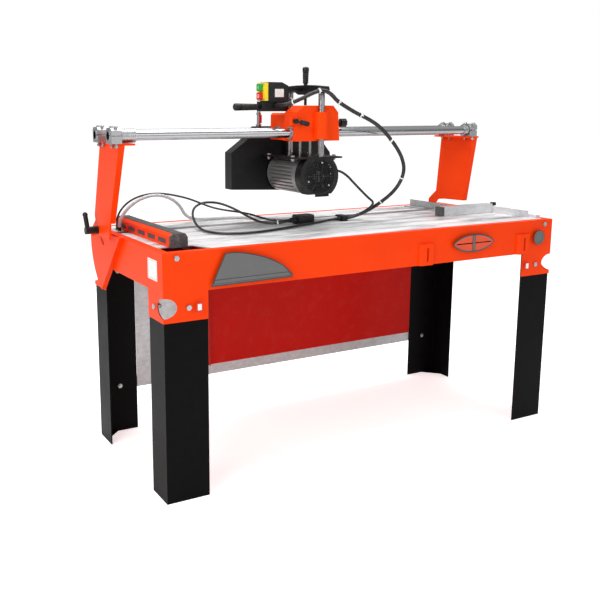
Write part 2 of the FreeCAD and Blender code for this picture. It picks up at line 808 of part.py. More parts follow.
def end_collars():
    """Ribbed stop collars at the left ends of the tubes, and plain ones at the right."""
    solids = []
    for y in (front_tube_y, rear_tube_y):
        start = tube_left + saddle_inset + saddle_length + 3
        end = start + collar_length
        collar = rod((start, y, tube_height), (end, y, tube_height), collar_radius)
        bore = rod((start, y, tube_height), (end, y, tube_height), tube_radius)
        grooves = []
        for step in range(7):
            x = start + 6 + 6 * step
            ring = rod((x - 1, y, tube_height), (x + 1, y, tube_height), collar_radius)
            grooves.append(ring.cut(rod((x - 1, y, tube_height), (x + 1, y, tube_height),
                                        collar_radius - 1.5)))
        solids.append(collar.cut([bore] + grooves))
        end = tube_right - saddle_inset - saddle_length - 3
        ring = rod((end - 16, y, tube_height), (end, y, tube_height), collar_radius - 1)
        solids.append(ring.cut(rod((end - 16, y, tube_height), (end, y, tube_height), tube_radius)))
    return Part.makeCompound(solids)


def tilt_lever():
    """The clamping lever: a hub that screws on the left pivot stud, and a handle that stands up."""
    x0 = left_arm_x - lever_gap
    x1 = x0 - lever_hub_length
    hub = rod((x0, blade_y, pivot_height), (x1, blade_y, pivot_height), lever_hub_radius)
    bore = rod((x0, blade_y, pivot_height), (left_arm_x - lever_hub_length / 2 - lever_gap, blade_y,
                                             pivot_height), pin_radius + running_gap)
    root = (x1 + 9, blade_y, pivot_height)
    tip = (x1 + 2, blade_y + 2, pivot_height + 54)
    handle = rod(root, tip, 8)
    return joined([hub, handle, Part.makeSphere(9, V(*tip))]).cut(bore)


# ---------------------------------------------------------------- carriage
def carriage_casting():
    """The painted casting that slides on both tubes and guides the two columns."""
    shoulder = casting_bottom + casting_shoulder
    top = casting_bottom + casting_top
    outline = [(casting_left, casting_bottom), (casting_left + 5, shoulder),
               (casting_left + 38, top), (casting_right - 28, top), (casting_right - 7, shoulder),
               (casting_right, casting_bottom)]
    front = plate_xz(outline, casting_front, casting_front + casting_depth)
    rear = box(carriage_x - rear_block_left, carriage_x + rear_block_right,
               casting_front + casting_depth, casting_rear, casting_bottom,
               casting_bottom + rear_block_height)
    rear = rear.makeChamfer(7.0, [e for e in rear.Edges if e.BoundBox.ZMin > casting_bottom + 1
                                  and e.BoundBox.YLength > 1])
    boss = rod((column_x, front_column_y, casting_bottom + 7),
               (column_x, front_column_y, shoulder + 1), column_boss_radius)
    lug = box(casting_left - 14, casting_left + 8, casting_front, casting_front + 18,
              casting_bottom + 56, casting_bottom + 82)
    whole = joined([front, rear, boss, lug])
    cuts = []
    for y in (front_tube_y, rear_tube_y):
        cuts.append(rod((casting_left - 20, y, tube_height), (casting_right + 20, y, tube_height),
                        bush_radius))
    for y in (front_column_y, rear_column_y):
        cuts.append(rod((column_x, y, casting_bottom - 5), (column_x, y, top + 5),
                        column_radius + running_gap))
    for x in rod_places():
        cuts.append(rod((x, rod_y, casting_bottom - 5), (x, rod_y, top + 5), rod_radius + 0.5))
    cuts.append(rod((column_x, rod_y, top - 60), (column_x, rod_y, top + 5), spindle_radius + 1.5))
    cuts.append(rod((casting_left - 6, casting_front - 5, casting_bottom + 69),
                    (casting_left - 6, casting_front + 20, casting_bottom + 69), 4 + running_gap))
    cuts.append(rod((casting_right - 30, -100, casting_bottom + 62),
                    (casting_right + 20, -100, casting_bottom + 62), 4 + running_gap))
    return whole.cut(cuts)


def rod_places():
    """X of the two thin rods that steady the motor plate."""
    return (column_x - 21, column_x + 21)


def slide_bushes():
    """The plain bushes pressed into the casting, two on each tube."""
    solids = []
    for y in (front_tube_y, rear_tube_y):
        half_left = carriage_x - rear_block_left
        half_right = carriage_x + rear_block_right
        left = casting_left + 1 if y < casting_front + casting_depth else half_left
        right = casting_right - 2 if y < casting_front + casting_depth else half_right
        for x0, x1 in ((left - bush_proud, left + bush_length),
                       (right - bush_length, right + bush_proud)):
            ring = rod((x0, y, tube_height), (x1, y, tube_height), bush_radius)
            bore = rod((x0, y, tube_height), (x1, y, tube_height), tube_radius + running_gap)
            solids.append(ring.cut(bore))
    return Part.makeCompound(solids)


def carriage_lock():
    """The lever that locks the carriage on the front tube: stud, steel arm and moulded grip."""
    x = casting_left - 6
    z = casting_bottom + 69
    front = casting_front
    stud = rod((x, front + 17, z), (x, front - 20, z), 4)
    hub = rod((x, front - 6, z), (x, front - 20, z), 8)
    arm_end = (x + 15, front - 20, z - 3)
    steel = rod((x, front - 13, z), arm_end, 4.5)
    grip = rod(arm_end, (x + 38, front - 25, z - 9), 8.5)
    end = Part.makeSphere(8.5, V(x + 38, front - 25, z - 9))
    return joined([stud, hub, steel, grip, end])


def height_lock():
    """The knob on the right of the casting that locks the head's height."""
    z = casting_bottom + 62
    x = casting_right - 4
    screw = rod((x - 24, -100, z), (x + 22, -100, z), 4)
    collar = rod((x + 6, -100, z), (x + 14, -100, z), 7)
    knob = rod((x + 14, -100, z), (x + 36, -100, z), 15)
    notches = []
    for step in range(8):
        angle = math.radians(45 * step)
        y = -100 + 17 * math.cos(angle)
        height = z + 17 * math.sin(angle)
        notches.append(rod((x + 13, y, height), (x + 37, y, height), 4))
    return joined([screw, collar, knob.cut(notches)])


# ---------------------------------------------------------------- plunging head
def guide_columns():
    """The two chromed columns and the two thin steady rods, as separate solids."""
    solids = []
    for y in (front_column_y, rear_column_y):
        solids.append(rod((column_x, y, plate_top), (column_x, y, column_top), column_radius))
    for x in rod_places():
        solids.append(rod((x, rod_y, plate_top), (x, rod_y, rod_top), rod_radius))
    return Part.makeCompound(solids)


def yoke():
    """The bar that ties the column tops, with a deeper middle and the depth-stop spindle."""
    y0 = front_column_y - yoke_end
    y1 = rear_column_y + yoke_end
    middle = (y0 + y1) / 2
    side = [(y0, column_top + 6), (y0 + 12, column_top), (middle - 45, column_top),
            (middle - 22, column_top - yoke_boss), (middle + 22, column_top - yoke_boss),
            (middle + 45, column_top), (y1, column_top), (y1, yoke_top - 3), (middle + 40, yoke_top),
            (middle - 40, yoke_top), (y0 + 6, yoke_top - 6)]
    bar = plate_yz(side, column_x - yoke_width / 2, column_x + yoke_width / 2)
    spindle = rod((column_x, rod_y, column_top - 46), (column_x, rod_y, column_top + 4),
                  spindle_radius)
    return joined([bar, spindle])


def top_grip():
    """The upright moulded grip on the yoke."""
    z0 = yoke_top
    stem = rod((column_x, rod_y, z0), (column_x, rod_y, z0 + 8), 7)
    body = Part.makeCone(grip_radius - 2.5, grip_radius, top_grip_length - 8,
                         V(column_x, rod_y, z0 + 6), V(0, 0, 1))
    return joined([stem, body])


def motor_plate():
    """The plate under the columns that carries the motor."""
    return box(carriage_x - plate_left, carriage_x + plate_right, plate_front, plate_rear,
               plate_top - plate_sheet, plate_top).cut(
                   [clearance_hole(s, d, depth=12.0, radius=4.0) for s, d in plate_bolt_seats()])


def plate_bolt_seats():
    """Seats and directions of the bolts in the motor plate's left and right edges."""
    seats = []
    for x in (carriage_x - plate_left + 9, carriage_x + plate_right - 9):
        for y in (plate_front + 40, plate_rear - 45):
            seats.append(((x, y, plate_top), (0, 0, -1)))
    return seats


def plate_bolts():
    """Bolts and nuts of the motor plate."""
    return Part.makeCompound([bolt(s, d, plate_sheet, 4.0) for s, d in plate_bolt_seats()])


def flatted(radius, y0, y1, half_height):
    """A round body along Y with flats above and below."""
    round_body = rod((motor_x, y0, motor_height), (motor_x, y1, motor_height), radius)
    limit = box(motor_x - radius, motor_x + radius, y0, y1, motor_height - half_height,
                motor_height + half_height)
    return round_body.common(limit)


def motor_body():
    """The finned motor housing with its end bell, and the terminal box on its right side."""
    body = flatted(motor_radius, motor_front, motor_rear, motor_flat)
    cuts = []
    pitch = 2 * (motor_flat - 10) / (fin_count - 1)
    for step in range(fin_count):
        z = motor_height - motor_flat + 10 + step * pitch
        reach = math.sqrt(motor_radius ** 2 - (z - motor_height) ** 2)
        for side in (-1, 1):
            xs = sorted((motor_x + side * (reach - fin_depth), motor_x + side * (reach + 5)))
            cuts.append(box(xs[0], xs[1], motor_front + 34, motor_rear - 12, z - fin_gap / 2,
                            z + fin_gap / 2))
    body = body.cut(cuts)
    bell = rod((motor_x, motor_rear, motor_height), (motor_x, guard_front, motor_height), 46)
    terminal = box(motor_x + motor_radius - 8, motor_x + motor_radius + 16, motor_front + 26,
                   motor_front + 92, motor_height - 8, motor_height + 40)
    whole = joined([body, bell, terminal])
    return whole.cut(rod((motor_x, motor_front, motor_height), (motor_x, guard_front, motor_height),
                         shaft_radius + running_gap))


def fan_cover():
    """The sheet cover over the fan, with a slotted grille in its front."""
    outer = flatted(cover_radius, cover_front, motor_front, motor_flat)
    inner = flatted(cover_radius - cover_wall, cover_front + cover_wall, motor_front,
                    motor_flat - cover_wall)
    cuts = [inner]
    pitch = 8.0
    rows = 13
    for row in range(rows):
        z = motor_height + (row - (rows - 1) / 2) * pitch
        half = math.sqrt(max((cover_radius - 14) ** 2 - (z - motor_height) ** 2, 0))
        for column in range(-3, 4):
            x0 = motor_x + column * 20.0 - 8.0
            x1 = motor_x + column * 20.0 + 8.0
            if abs(x0 - motor_x) < half and abs(x1 - motor_x) < half:
                cuts.append(box(x0, x1, cover_front, cover_front + cover_wall, z - 2, z + 2))
    return outer.cut(cuts)


def cable_gland():
    """The screwed gland where the motor cable leaves the terminal box."""
    x = motor_x + motor_radius + 16
    y = motor_front + 59
    z = motor_height + 12
    nut = hexagon((x, y, z), (1, 0, 0), 17, 8)
    dome = Part.makeCone(7.5, motor_cable_radius + 1.5, 12, V(x + 8, y, z), V(1, 0, 0))
    return joined([nut, dome])


def guard_outline(inset):
    """The blade guard's outline in X and Z, drawn in by its wall."""
    x = carriage_x
    part = 0.4 * inset
    return [(x - 225 + inset, guard_bottom - inset), (x - 225 + inset, 1064 - part),
            (x - 167 + part, 1105 - inset), (x - 112 + part, guard_top - inset),
            (x + 55 - part, guard_top - inset), (x + 162 - inset, 1104 - part),
            (x + 203 - inset, 1056 - part),
            (x + 212 - inset, guard_bottom - guard_slope - inset)]


def blade_guard():
    """The sheet-metal blade guard, open below, with a hole for the arbor."""
    outer = plate_xz(guard_outline(0), guard_front, guard_rear)
    inner = plate_xz(guard_outline(guard_wall), guard_front + guard_wall, guard_rear - guard_wall)
    hole = rod((motor_x, guard_front, motor_height), (motor_x, guard_front + guard_wall, motor_height),
               flange_radius + 4)
    return outer.cut([inner, hole])


def splash_flap():
    """The rubber flap that hangs from the guard's right end, over the blade slot."""
    x1 = carriage_x + 212 - guard_wall
    y0 = slot_front + flap_margin
    return box(x1 - flap_length, x1 - 2, y0, y0 + flap_sheet, guard_bottom - guard_slope - flap_drop,
               guard_bottom)


def arbor():
    """The motor shaft with its fan in front, and the blade flanges and nut inside the guard."""
    fan_front = cover_front + 6
    shaft = rod((motor_x, fan_front, motor_height), (motor_x, guard_rear - 10, motor_height),
                shaft_radius)
    hub = rod((motor_x, fan_front, motor_height), (motor_x, motor_front - 3, motor_height), 22)
    pieces = [shaft, hub]
    for step in range(6):
        angle = math.radians(60 * step)
        tip = (motor_x + 55 * math.cos(angle), 0, motor_height + 55 * math.sin(angle))
        side = V(-math.sin(angle), 0, math.cos(angle)) * 1.5
        root = V(motor_x, fan_front, motor_height)
        end = V(tip[0], fan_front, tip[2])
        ring = [root + side, end + side, end - side, root - side]
        face = Part.Face(Part.makePolygon(ring + ring[:1]))
        pieces.append(face.extrude(V(0, 24, 0)))
    middle = (guard_front + guard_rear) / 2
    pieces.append(rod((motor_x, middle - 8, motor_height), (motor_x, middle - 1.6, motor_height),
                      flange_radius))
    pieces.append(rod((motor_x, middle + 1.6, motor_height), (motor_x, middle + 7, motor_height),
                      flange_radius))
    pieces.append(hexagon((motor_x, middle + 7, motor_height), (0, 1, 0), 30, 8))
    return joined(pieces)


def switch_box():
    """The switch housing beside the yoke, hollowed behind its buttons."""
    x1 = switch_right()
    x0 = x1 - switch_depth
    y0 = switch_y - switch_width / 2
    y1 = y0 + switch_width
    top = switch_bottom + switch_height
    side = [(x0, switch_bottom), (x1, switch_bottom), (x1, top - 12), (x1 - 26, top), (x0, top)]
    body = plate_xz(side, y0, y1)
    return body.cut([pocket(place, 30.0) for place in button_heights()])


def switch_right():
    """X of the switch housing's right side."""
    return carriage_x - switch_shift


def switch_face():
    """The bright front housing of the switch, with the two button openings."""
    x1 = switch_right() - switch_depth
    y0 = switch_y - switch_width / 2 + 2
    y1 = y0 + switch_width - 4
    face = box(x1 - face_depth, x1, y0, y1, switch_bottom + 2, switch_bottom + switch_height - 2)
    return face.cut([pocket(place, 0.0) for place in button_heights()])


def button_heights():
    """The middle of the start button and of the stop button."""
    middle = switch_bottom + switch_height / 2
    return (middle + 14.5, middle - 14.5)


def pocket(z, depth):
    """The opening that one button travels in, reaching depth into the switch housing."""
    x1 = switch_right() - switch_depth
    half = button_size / 2 + button_gap
    return box(x1 - face_depth, x1 + depth, switch_y - half, switch_y + half, z - half, z + half)


def button(z):
    """One push button, standing proud of the switch face."""
    x1 = switch_right() - switch_depth
    half = button_size / 2
    return box(x1 - face_depth - button_proud, x1 + 10, switch_y - half, switch_y + half, z - half,
               z + half)


def handle_bracket():
    """The cast bracket from the yoke that carries the switch housing and the side grip."""
    x1 = switch_right()
    x0 = x1 - switch_depth - bracket_reach
    block = box(x0, x1 - 2, switch_y - 22, switch_y + 16, switch_bottom - bracket_height,
                switch_bottom)
    shelf_z = column_top + 4
    shelf = box(x1, column_x - yoke_width / 2, switch_y - 22, switch_y + 16, shelf_z,
                shelf_z + bracket_plate)
    web = box(x1, x1 + 6, switch_y - 22, switch_y + 16, switch_bottom - bracket_height,
              shelf_z + bracket_plate)
    foot = box(x1 - 2, x1, switch_y - 22, switch_y + 16, switch_bottom - bracket_height,
               switch_bottom)
    return joined([block, foot, shelf, web])


def side_grip():
    """The grip that the operator pulls the carriage with."""
    x1 = switch_right() - switch_depth - bracket_reach
    z = switch_bottom - bracket_height / 2 - 2
    neck = rod((x1 - 10, switch_y, z), (x1, switch_y, z), 8)
    body = Part.makeCone(grip_radius - 1.5, grip_radius + 1, side_grip_length - 8,
                         V(x1 - 8, switch_y, z), V(-1, 0, 0))
    return joined([neck, body])


def valve_x():
    """X of the water valve on the guard."""
    return carriage_x - 98


def water_valve():
    """The brass-chromed water valve that stands on the guard's top."""
    x = valve_x()
    y = (guard_front + guard_rear) / 2
    foot = hexagon((x, y, guard_top), (0, 0, 1), 20, 8)
    body = rod((x, y, guard_top + 8), (x, y, guard_top + valve_height), 6.5)
    crown = hexagon((x, y, guard_top + valve_height - 12), (0, 0, 1), 17, 8)
    side = rod((x, y - 6, guard_top + 28), (x, y - 12, guard_top + 28), 6)
    return joined([foot, body, crown, side]).cut(
        rod((x, y - 12, guard_top + 28), (x, y - 9, guard_top + 28), 2.5 + running_gap))


def valve_lever():
    """The small lever that opens the water valve."""
    x = valve_x()
    y = (guard_front + guard_rear) / 2
    pin = rod((x, y - 9, guard_top + 28), (x, y - 16, guard_top + 28), 2.5)
    blade = box(x - 4.5, x + 4.5, y - 16, y - 12.3, guard_top + 12, guard_top + 42)
    return joined([pin, blade])


# ---------------------------------------------------------------- cords, points chosen by hand
def sleeve_cuff():
    """The moulded cuff on the table where the leads and the water hose enter the sleeve."""
    block = box(100, 125, 1, 50, rim_height + 1, rim_height + 22)
    edges = [e for e in block.Edges if e.BoundBox.ZMin > rim_height + 20 and e.BoundBox.XLength > 1]
    return block.makeChamfer(4.0, edges)


def inline_connector():
    """The moulded connector that joins the pump's lead to the machine's lead, with two glands."""
    block = box(-92, -26, 2, 52, rim_height + 0.5, rim_height + 34)
    edges = [e for e in block.Edges if e.BoundBox.XLength > 60]
    block = block.makeFillet(7.0, edges)
    glands = [rod((-106, y, rim_height + 14), (-91, y, rim_height + 14), 8.5) for y in (17, 40)]
    return joined([block] + glands)


lead_head_route = [(-205, -22, 1232), (-205, -58, 1232), (-198, -98, 1238), (-172, -135, 1255),
                   (-128, -154, 1279), (-92, -158, 1283), (-62, -155, 1268), (-40, -152, 1248),
                   (-12, -150, 1234)]
lead_loop_route = [(-11.72, -149.98, 1233.86), (32.8, -146.8, 1211.6), (92, -150, 1188), (142, -150, 1163),
                   (186, -150, 1127), (226, -149, 1086), (256, -148, 1046), (272, -146, 1000),
                   (264, -134, 952), (252, -103, 910), (232, -60, 872), (214, -26, 846),
                   (196, 4, 826), (165, 26, 811), (125, 26, 811)]
motor_cable_route = [(11, -41, 1000), (45, -41, 1000), (78, -50, 982), (108, -62, 948),
                     (138, -71, 917), (165, -74, 893), (193, -68, 876), (200, -46, 857),
                     (190, -22, 838), (172, 2, 820), (150, 9, 811), (125, 9, 811)]
lead_table_route = [(100, 16, 809), (62, 16, 809), (0, -6, 806), (-72, -28, 806), (-150, -60, 806),
                    (-226, -90, 806), (-300, -112, 806), (-368, -122, 806), (-428, -110, 806),
                    (-468, -72, 806), (-482, -15, 806), (-474, 55, 808), (-460, 125, 822),
                    (-438, 190, 840), (-407, 240, 859), (-358, 265, 872), (-304, 248, 870),
                    (-262, 203, 851), (-232, 150, 826), (-214, 97, 809), (-190, 52, 806),
                    (-160, 28, 808), (-134, 17, 814), (-106, 17, 814)]
pump_cable_route = [(-723, 208, 812), (-723, 208, 836), (-712, 208, 862), (-690, 208, 887),
                    (-658, 207, 907), (-617, 206, 919), (-572, 205, 922), (-528, 204, 917),
                    (-484, 204, 907), (-442, 204, 895), (-402, 196, 878), (-366, 170, 862),
                    (-332, 138, 854), (-290, 112, 848), (-242, 102, 838), (-198, 100, 822),
                    (-168, 84, 814), (-150, 56, 812), (-130, 40, 814), (-106, 40, 814)]
water_hose_route = [(-723, 180, 812), (-723, 180, 830), (-711, 180, 853), (-692, 180, 876),
                    (-664, 180, 897), (-630, 180, 912), (-590, 181, 919), (-548, 184, 913),
                    (-507, 192, 894), (-474, 212, 865), (-449, 238, 835), (-414, 260, 814),
                    (-365, 270, 807), (-300, 273, 807), (-240, 264, 807), (-185, 238, 807),
                    (-136, 196, 807), (-92, 148, 807), (-45, 102, 807), (0, 68, 807), (40, 47, 808),
                    (70, 38, 810), (100, 38, 810)]


def export(name, shape):
    """Write one node."""
    shape.exportStep(f"parts/{name}.step")
    solids = shape.Solids
    if not solids or not shape.isValid() or any(s.Volume <= 0 for s in solids):
        print("BAD SHAPE", name, len(solids), shape.isValid())


nodes = {
    "frame_tray": frame_tray(),
    "quadrant_plate": quadrant_plate(),
    "frame_fasteners": frame_fasteners(),
    "labels": labels(),
    "rear_panel": rear_panel(),
    "rear_rail": rear_rail(),
    "table_front": table_front(),
    "table_rear": table_rear(),
    "table_supports": table_supports(),
    "stop_bar": stop_bar(),
    "stop_bar_caps": stop_bar_caps(),
    "fence_rail": fence_rail(),
    "pump": pump(),
    "pivot_bracket": pivot_bracket(),
    "fence_slider": fence_slider(),
    "fence_cap": fence_cap(),
    "fence_knob": fence_knob(),
    "arm_left": arm_left(),
    "arm_right": arm_right(),
    "tube_front": bridge_tube(front_tube_y),
    "tube_rear": bridge_tube(rear_tube_y),
    "tube_saddles": tube_saddles(),
    "saddle_bolts": saddle_bolts(),
    "end_collars": end_collars(),
    "tilt_lever": tilt_lever(),
    "carriage_casting": carriage_casting(),
    "slide_bushes": slide_bushes(),
    "carriage_lock": carriage_lock(),
    "height_lock": height_lock(),
    "guide_columns": guide_columns(),
    "yoke": yoke(),
    "top_grip": top_grip(),
    "motor_plate": motor_plate(),
    "plate_bolts": plate_bolts(),
    "motor_body": motor_body(),
    "fan_cover": fan_cover(),
    "cable_gland": cable_gland(),
    "blade_guard": blade_guard(),
    "splash_flap": splash_flap(),
    "arbor": arbor(),
    "switch_box": switch_box(),
    "switch_face": switch_face(),
    "start_button": button(button_heights()[0]),
    "stop_button": button(button_heights()[1]),
    "handle_bracket": handle_bracket(),
    "side_grip": side_grip(),
    "water_valve": water_valve(),
    "valve_lever": valve_lever(),
    "sleeve_cuff": sleeve_cuff(),
    "inline_connector": inline_connector(),
    "lead_head": pipe(lead_head_route, lead_radius),
    "lead_loop": pipe(lead_loop_route, lead_radius),
    "motor_cable": pipe(motor_cable_route, motor_cable_radius),
    "lead_table": pipe(lead_table_route, motor_cable_radius),
    "pump_cable": pipe(pump_cable_route, pump_cable_radius),
    "water_hose": pipe(water_hose_route, hose_radius),
}
for corner_name, corner_side_x, corner_side_y in corners():
    nodes[f"leg_{corner_name}"] = leg(corner_side_x, corner_side_y)

os.makedirs("parts", exist_ok=True)
for node_name, node_shape in nodes.items():
    export(node_name, node_shape)
print(len(nodes), "nodes")
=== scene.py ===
import math
import bpy
import bmesh
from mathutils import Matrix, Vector


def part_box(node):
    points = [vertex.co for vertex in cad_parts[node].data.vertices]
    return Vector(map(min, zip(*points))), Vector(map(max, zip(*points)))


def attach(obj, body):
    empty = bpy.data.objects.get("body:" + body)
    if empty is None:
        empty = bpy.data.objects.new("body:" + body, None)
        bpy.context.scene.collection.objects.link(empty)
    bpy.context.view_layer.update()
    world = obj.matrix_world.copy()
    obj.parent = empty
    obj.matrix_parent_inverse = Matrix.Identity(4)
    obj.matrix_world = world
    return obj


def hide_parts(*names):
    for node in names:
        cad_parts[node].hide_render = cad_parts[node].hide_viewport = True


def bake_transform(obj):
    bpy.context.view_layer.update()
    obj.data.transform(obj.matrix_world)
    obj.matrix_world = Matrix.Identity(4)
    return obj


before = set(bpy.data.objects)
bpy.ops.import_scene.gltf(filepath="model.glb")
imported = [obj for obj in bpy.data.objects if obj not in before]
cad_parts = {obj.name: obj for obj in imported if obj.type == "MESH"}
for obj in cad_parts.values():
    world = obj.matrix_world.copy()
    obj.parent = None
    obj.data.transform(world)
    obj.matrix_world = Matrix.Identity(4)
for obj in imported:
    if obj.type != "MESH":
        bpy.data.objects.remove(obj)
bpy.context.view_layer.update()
bpy.ops.object.select_all(action="DESELECT")

# ---------------------------------------------------------------- powder-coated frame
# The tray, the arms, the mitre quadrant and the rear panel are folded steel sheet, powder coated
# glossy orange. The coat has a fine orange peel, thins a little on the folds and picks up dust.


def surface_group(name, inputs, outputs):
    """An empty node group with its sockets, and a maker of nodes inside it."""
    group = bpy.data.node_groups.new(name, "ShaderNodeTree")
    for label, kind, value in inputs:
        socket = group.interface.new_socket(label, in_out="INPUT", socket_type=kind)
        socket.default_value = value
    for label, kind in outputs:
        group.interface.new_socket(label, in_out="OUTPUT", socket_type=kind)
    source = group.nodes.new("NodeGroupInput")
    sink = group.nodes.new("NodeGroupOutput")
    return group, source, sink


def place(tree, kind, links=None, **settings):
    """A node of that kind in a tree, with its settings and what feeds its sockets."""
    node = tree.nodes.new(kind)
    for label, value in settings.items():
        setattr(node, label, value)
    for label, value in (links or {}).items():
        if isinstance(value, bpy.types.NodeSocket):
            tree.links.new(value, node.inputs[label])
        else:
            node.inputs[label].default_value = value
    return node


def noise(tree, where, scale, detail, roughness=0.5):
    """A noise texture's value."""
    return place(tree, "ShaderNodeTexNoise", {"Vector": where, "Scale": scale, "Detail": detail,
                                              "Roughness": roughness}).outputs["Fac"]


def ranged(tree, value, low, high, to_low=0.0, to_high=1.0):
    """A value carried from one range to another."""
    return place(tree, "ShaderNodeMapRange",
                 {"Value": value, "From Min": low, "From Max": high, "To Min": to_low,
                  "To Max": to_high}).outputs[0]


def reckon(tree, operation, first, second, clamp=False):
    """Two values added, multiplied or subtracted."""
    return place(tree, "ShaderNodeMath", {0: first, 1: second}, operation=operation,
                 use_clamp=clamp).outputs[0]


def blended(tree, share, under, over, blend="MIX"):
    """Two colours mixed. The colour sockets of a Mix node are its inputs 6 and 7."""
    return place(tree, "ShaderNodeMix", {0: share, 6: under, 7: over}, data_type="RGBA",
                 blend_type=blend).outputs[2]


def give(group, made, colour, roughness, height, strength, distance, soft):
    """Puts a group's colour, roughness and bumped normal on its outputs."""
    bump = place(group, "ShaderNodeBump", {"Strength": strength, "Distance": distance,
                                           "Height": height, "Normal": soft.outputs[0]})
    group.links.new(colour, made.inputs["Colour"])
    group.links.new(roughness, made.inputs["Roughness"])
    group.links.new(bump.outputs[0], made.inputs["Normal"])


def build_coat():
    """Sprayed coats: peel, thin edges, dust in the lee and rub marks."""
    group, given, made = surface_group(
        "sprayed_coat",
        [("Colour", "NodeSocketColor", (0.8, 0.1, 0.01, 1)),
         ("Edge colour", "NodeSocketColor", (0.9, 0.3, 0.1, 1)),
         ("Edge wear", "NodeSocketFloat", 0.4),
         ("Gloss", "NodeSocketFloat", 0.25),
         ("Peel scale", "NodeSocketFloat", 420.0),
         ("Peel depth", "NodeSocketFloat", 0.12),
         ("Dust", "NodeSocketFloat", 0.2)],
        [("Colour", "NodeSocketColor"), ("Roughness", "NodeSocketFloat"),
         ("Normal", "NodeSocketVector")])
    where = place(group, "ShaderNodeTexCoord").outputs["Object"]
    soft = place(group, "ShaderNodeBevel", {"Radius": 0.0009}, samples=4)
    flat = place(group, "ShaderNodeNewGeometry")
    facing = place(group, "ShaderNodeVectorMath", {0: soft.outputs[0], 1: flat.outputs["Normal"]},
                   operation="DOT_PRODUCT")
    edge = ranged(group, facing.outputs["Value"], 0.995, 0.86)
    broken = ranged(group, noise(group, where, 95.0, 4.0), 0.46, 0.62)
    worn = reckon(group, "MULTIPLY", edge, broken)
    amount = reckon(group, "MULTIPLY", worn, given.outputs["Edge wear"])
    cloud = noise(group, where, 3.2, 5.0, 0.62)
    tone = ranged(group, cloud, 0.3, 0.7, 0.93, 1.05)
    body = blended(group, 1.0, given.outputs["Colour"], tone, "MULTIPLY")
    powder = ranged(group, noise(group, where, 26.0, 8.0, 0.75), 0.5, 0.8)
    settled = reckon(group, "MULTIPLY", powder, given.outputs["Dust"])
    dusty = blended(group, settled, body, (0.62, 0.58, 0.53, 1))
    rubbed = blended(group, amount, dusty, given.outputs["Edge colour"])
    haze = ranged(group, cloud, 0.25, 0.75, -0.05, 0.09)
    rough = reckon(group, "ADD", given.outputs["Gloss"], haze)
    matt = reckon(group, "MULTIPLY", settled, 0.5)
    whole = reckon(group, "ADD", rough, matt, clamp=True)
    peel = noise(group, where, given.outputs["Peel scale"], 2.0)
    give(group, made, rubbed, whole, peel, given.outputs["Peel depth"], 0.0006, soft)
    return group


sprayed_coat = build_coat()


def finish(name, group, values, **shader):
    """A material whose group of that name feeds the shader, with constants on the shader itself."""
    material = bpy.data.materials.new(name)
    material.use_nodes = True
    tree = material.node_tree
    principled = tree.nodes["Principled BSDF"]
    for label, value in shader.items():
        principled.inputs[label.replace("_", " ")].default_value = value
    effect = tree.nodes.new("ShaderNodeGroup")
    effect.node_tree = group
    for label, value in values.items():
        effect.inputs[label].default_value = value
    for made, socket in (("Colour", "Base Color"), ("Roughness", "Roughness"),
                         ("Normal", "Normal"), ("Metal", "Metallic")):
        if made in effect.outputs:
            tree.links.new(effect.outputs[made], principled.inputs[socket])
    return material


def coat_node(material, *names):
    """Gives CAD nodes a finish."""
    for name in names:
        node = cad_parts[name]
        for part_slot in node.material_slots:
            part_slot.material = material
        if not node.material_slots:
            node.data.materials.append(material)


orange_coat = finish("orange powder coat", sprayed_coat,
                     {"Colour": (0.88, 0.048, 0.0002, 1), "Edge colour": (0.95, 0.2, 0.03, 1),
                      "Edge wear": 0.35, "Gloss": 0.36, "Peel scale": 380.0, "Peel depth": 0.08,
                      "Dust": 0.004},
                     Coat_Weight=0.03, Coat_Roughness=0.12, Specular_IOR_Level=0.09)
coat_node(orange_coat, "frame_tray", "quadrant_plate", "arm_left", "arm_right")

panel_coat = finish("rear panel coat", sprayed_coat,
                    {"Colour": (0.5, 0.005, 0.0004, 1), "Edge colour": (0.8, 0.12, 0.03, 1),
                     "Edge wear": 0.4, "Gloss": 0.42, "Peel scale": 380.0, "Peel depth": 0.1,
                     "Dust": 0.03},
                    Coat_Weight=0.03, Coat_Roughness=0.2, Specular_IOR_Level=0.1)
coat_node(panel_coat, "rear_panel")

# ---------------------------------------------------------------- legs
# Four folded angle legs of 4 mm steel, in a satin black coat that scuffs grey along its folds and
# picks up a little dust.
leg_coat = finish("black leg coat", sprayed_coat,
                  {"Colour": (0.0035, 0.0035, 0.004, 1), "Edge colour": (0.12, 0.12, 0.125, 1),
                   "Edge wear": 0.6, "Gloss": 0.38, "Peel scale": 300.0, "Peel depth": 0.2,
                   "Dust": 0.004},
                  Specular_IOR_Level=0.05)
coat_node(leg_coat, "leg_front_left", "leg_front_right", "leg_rear_left", "leg_rear_right")
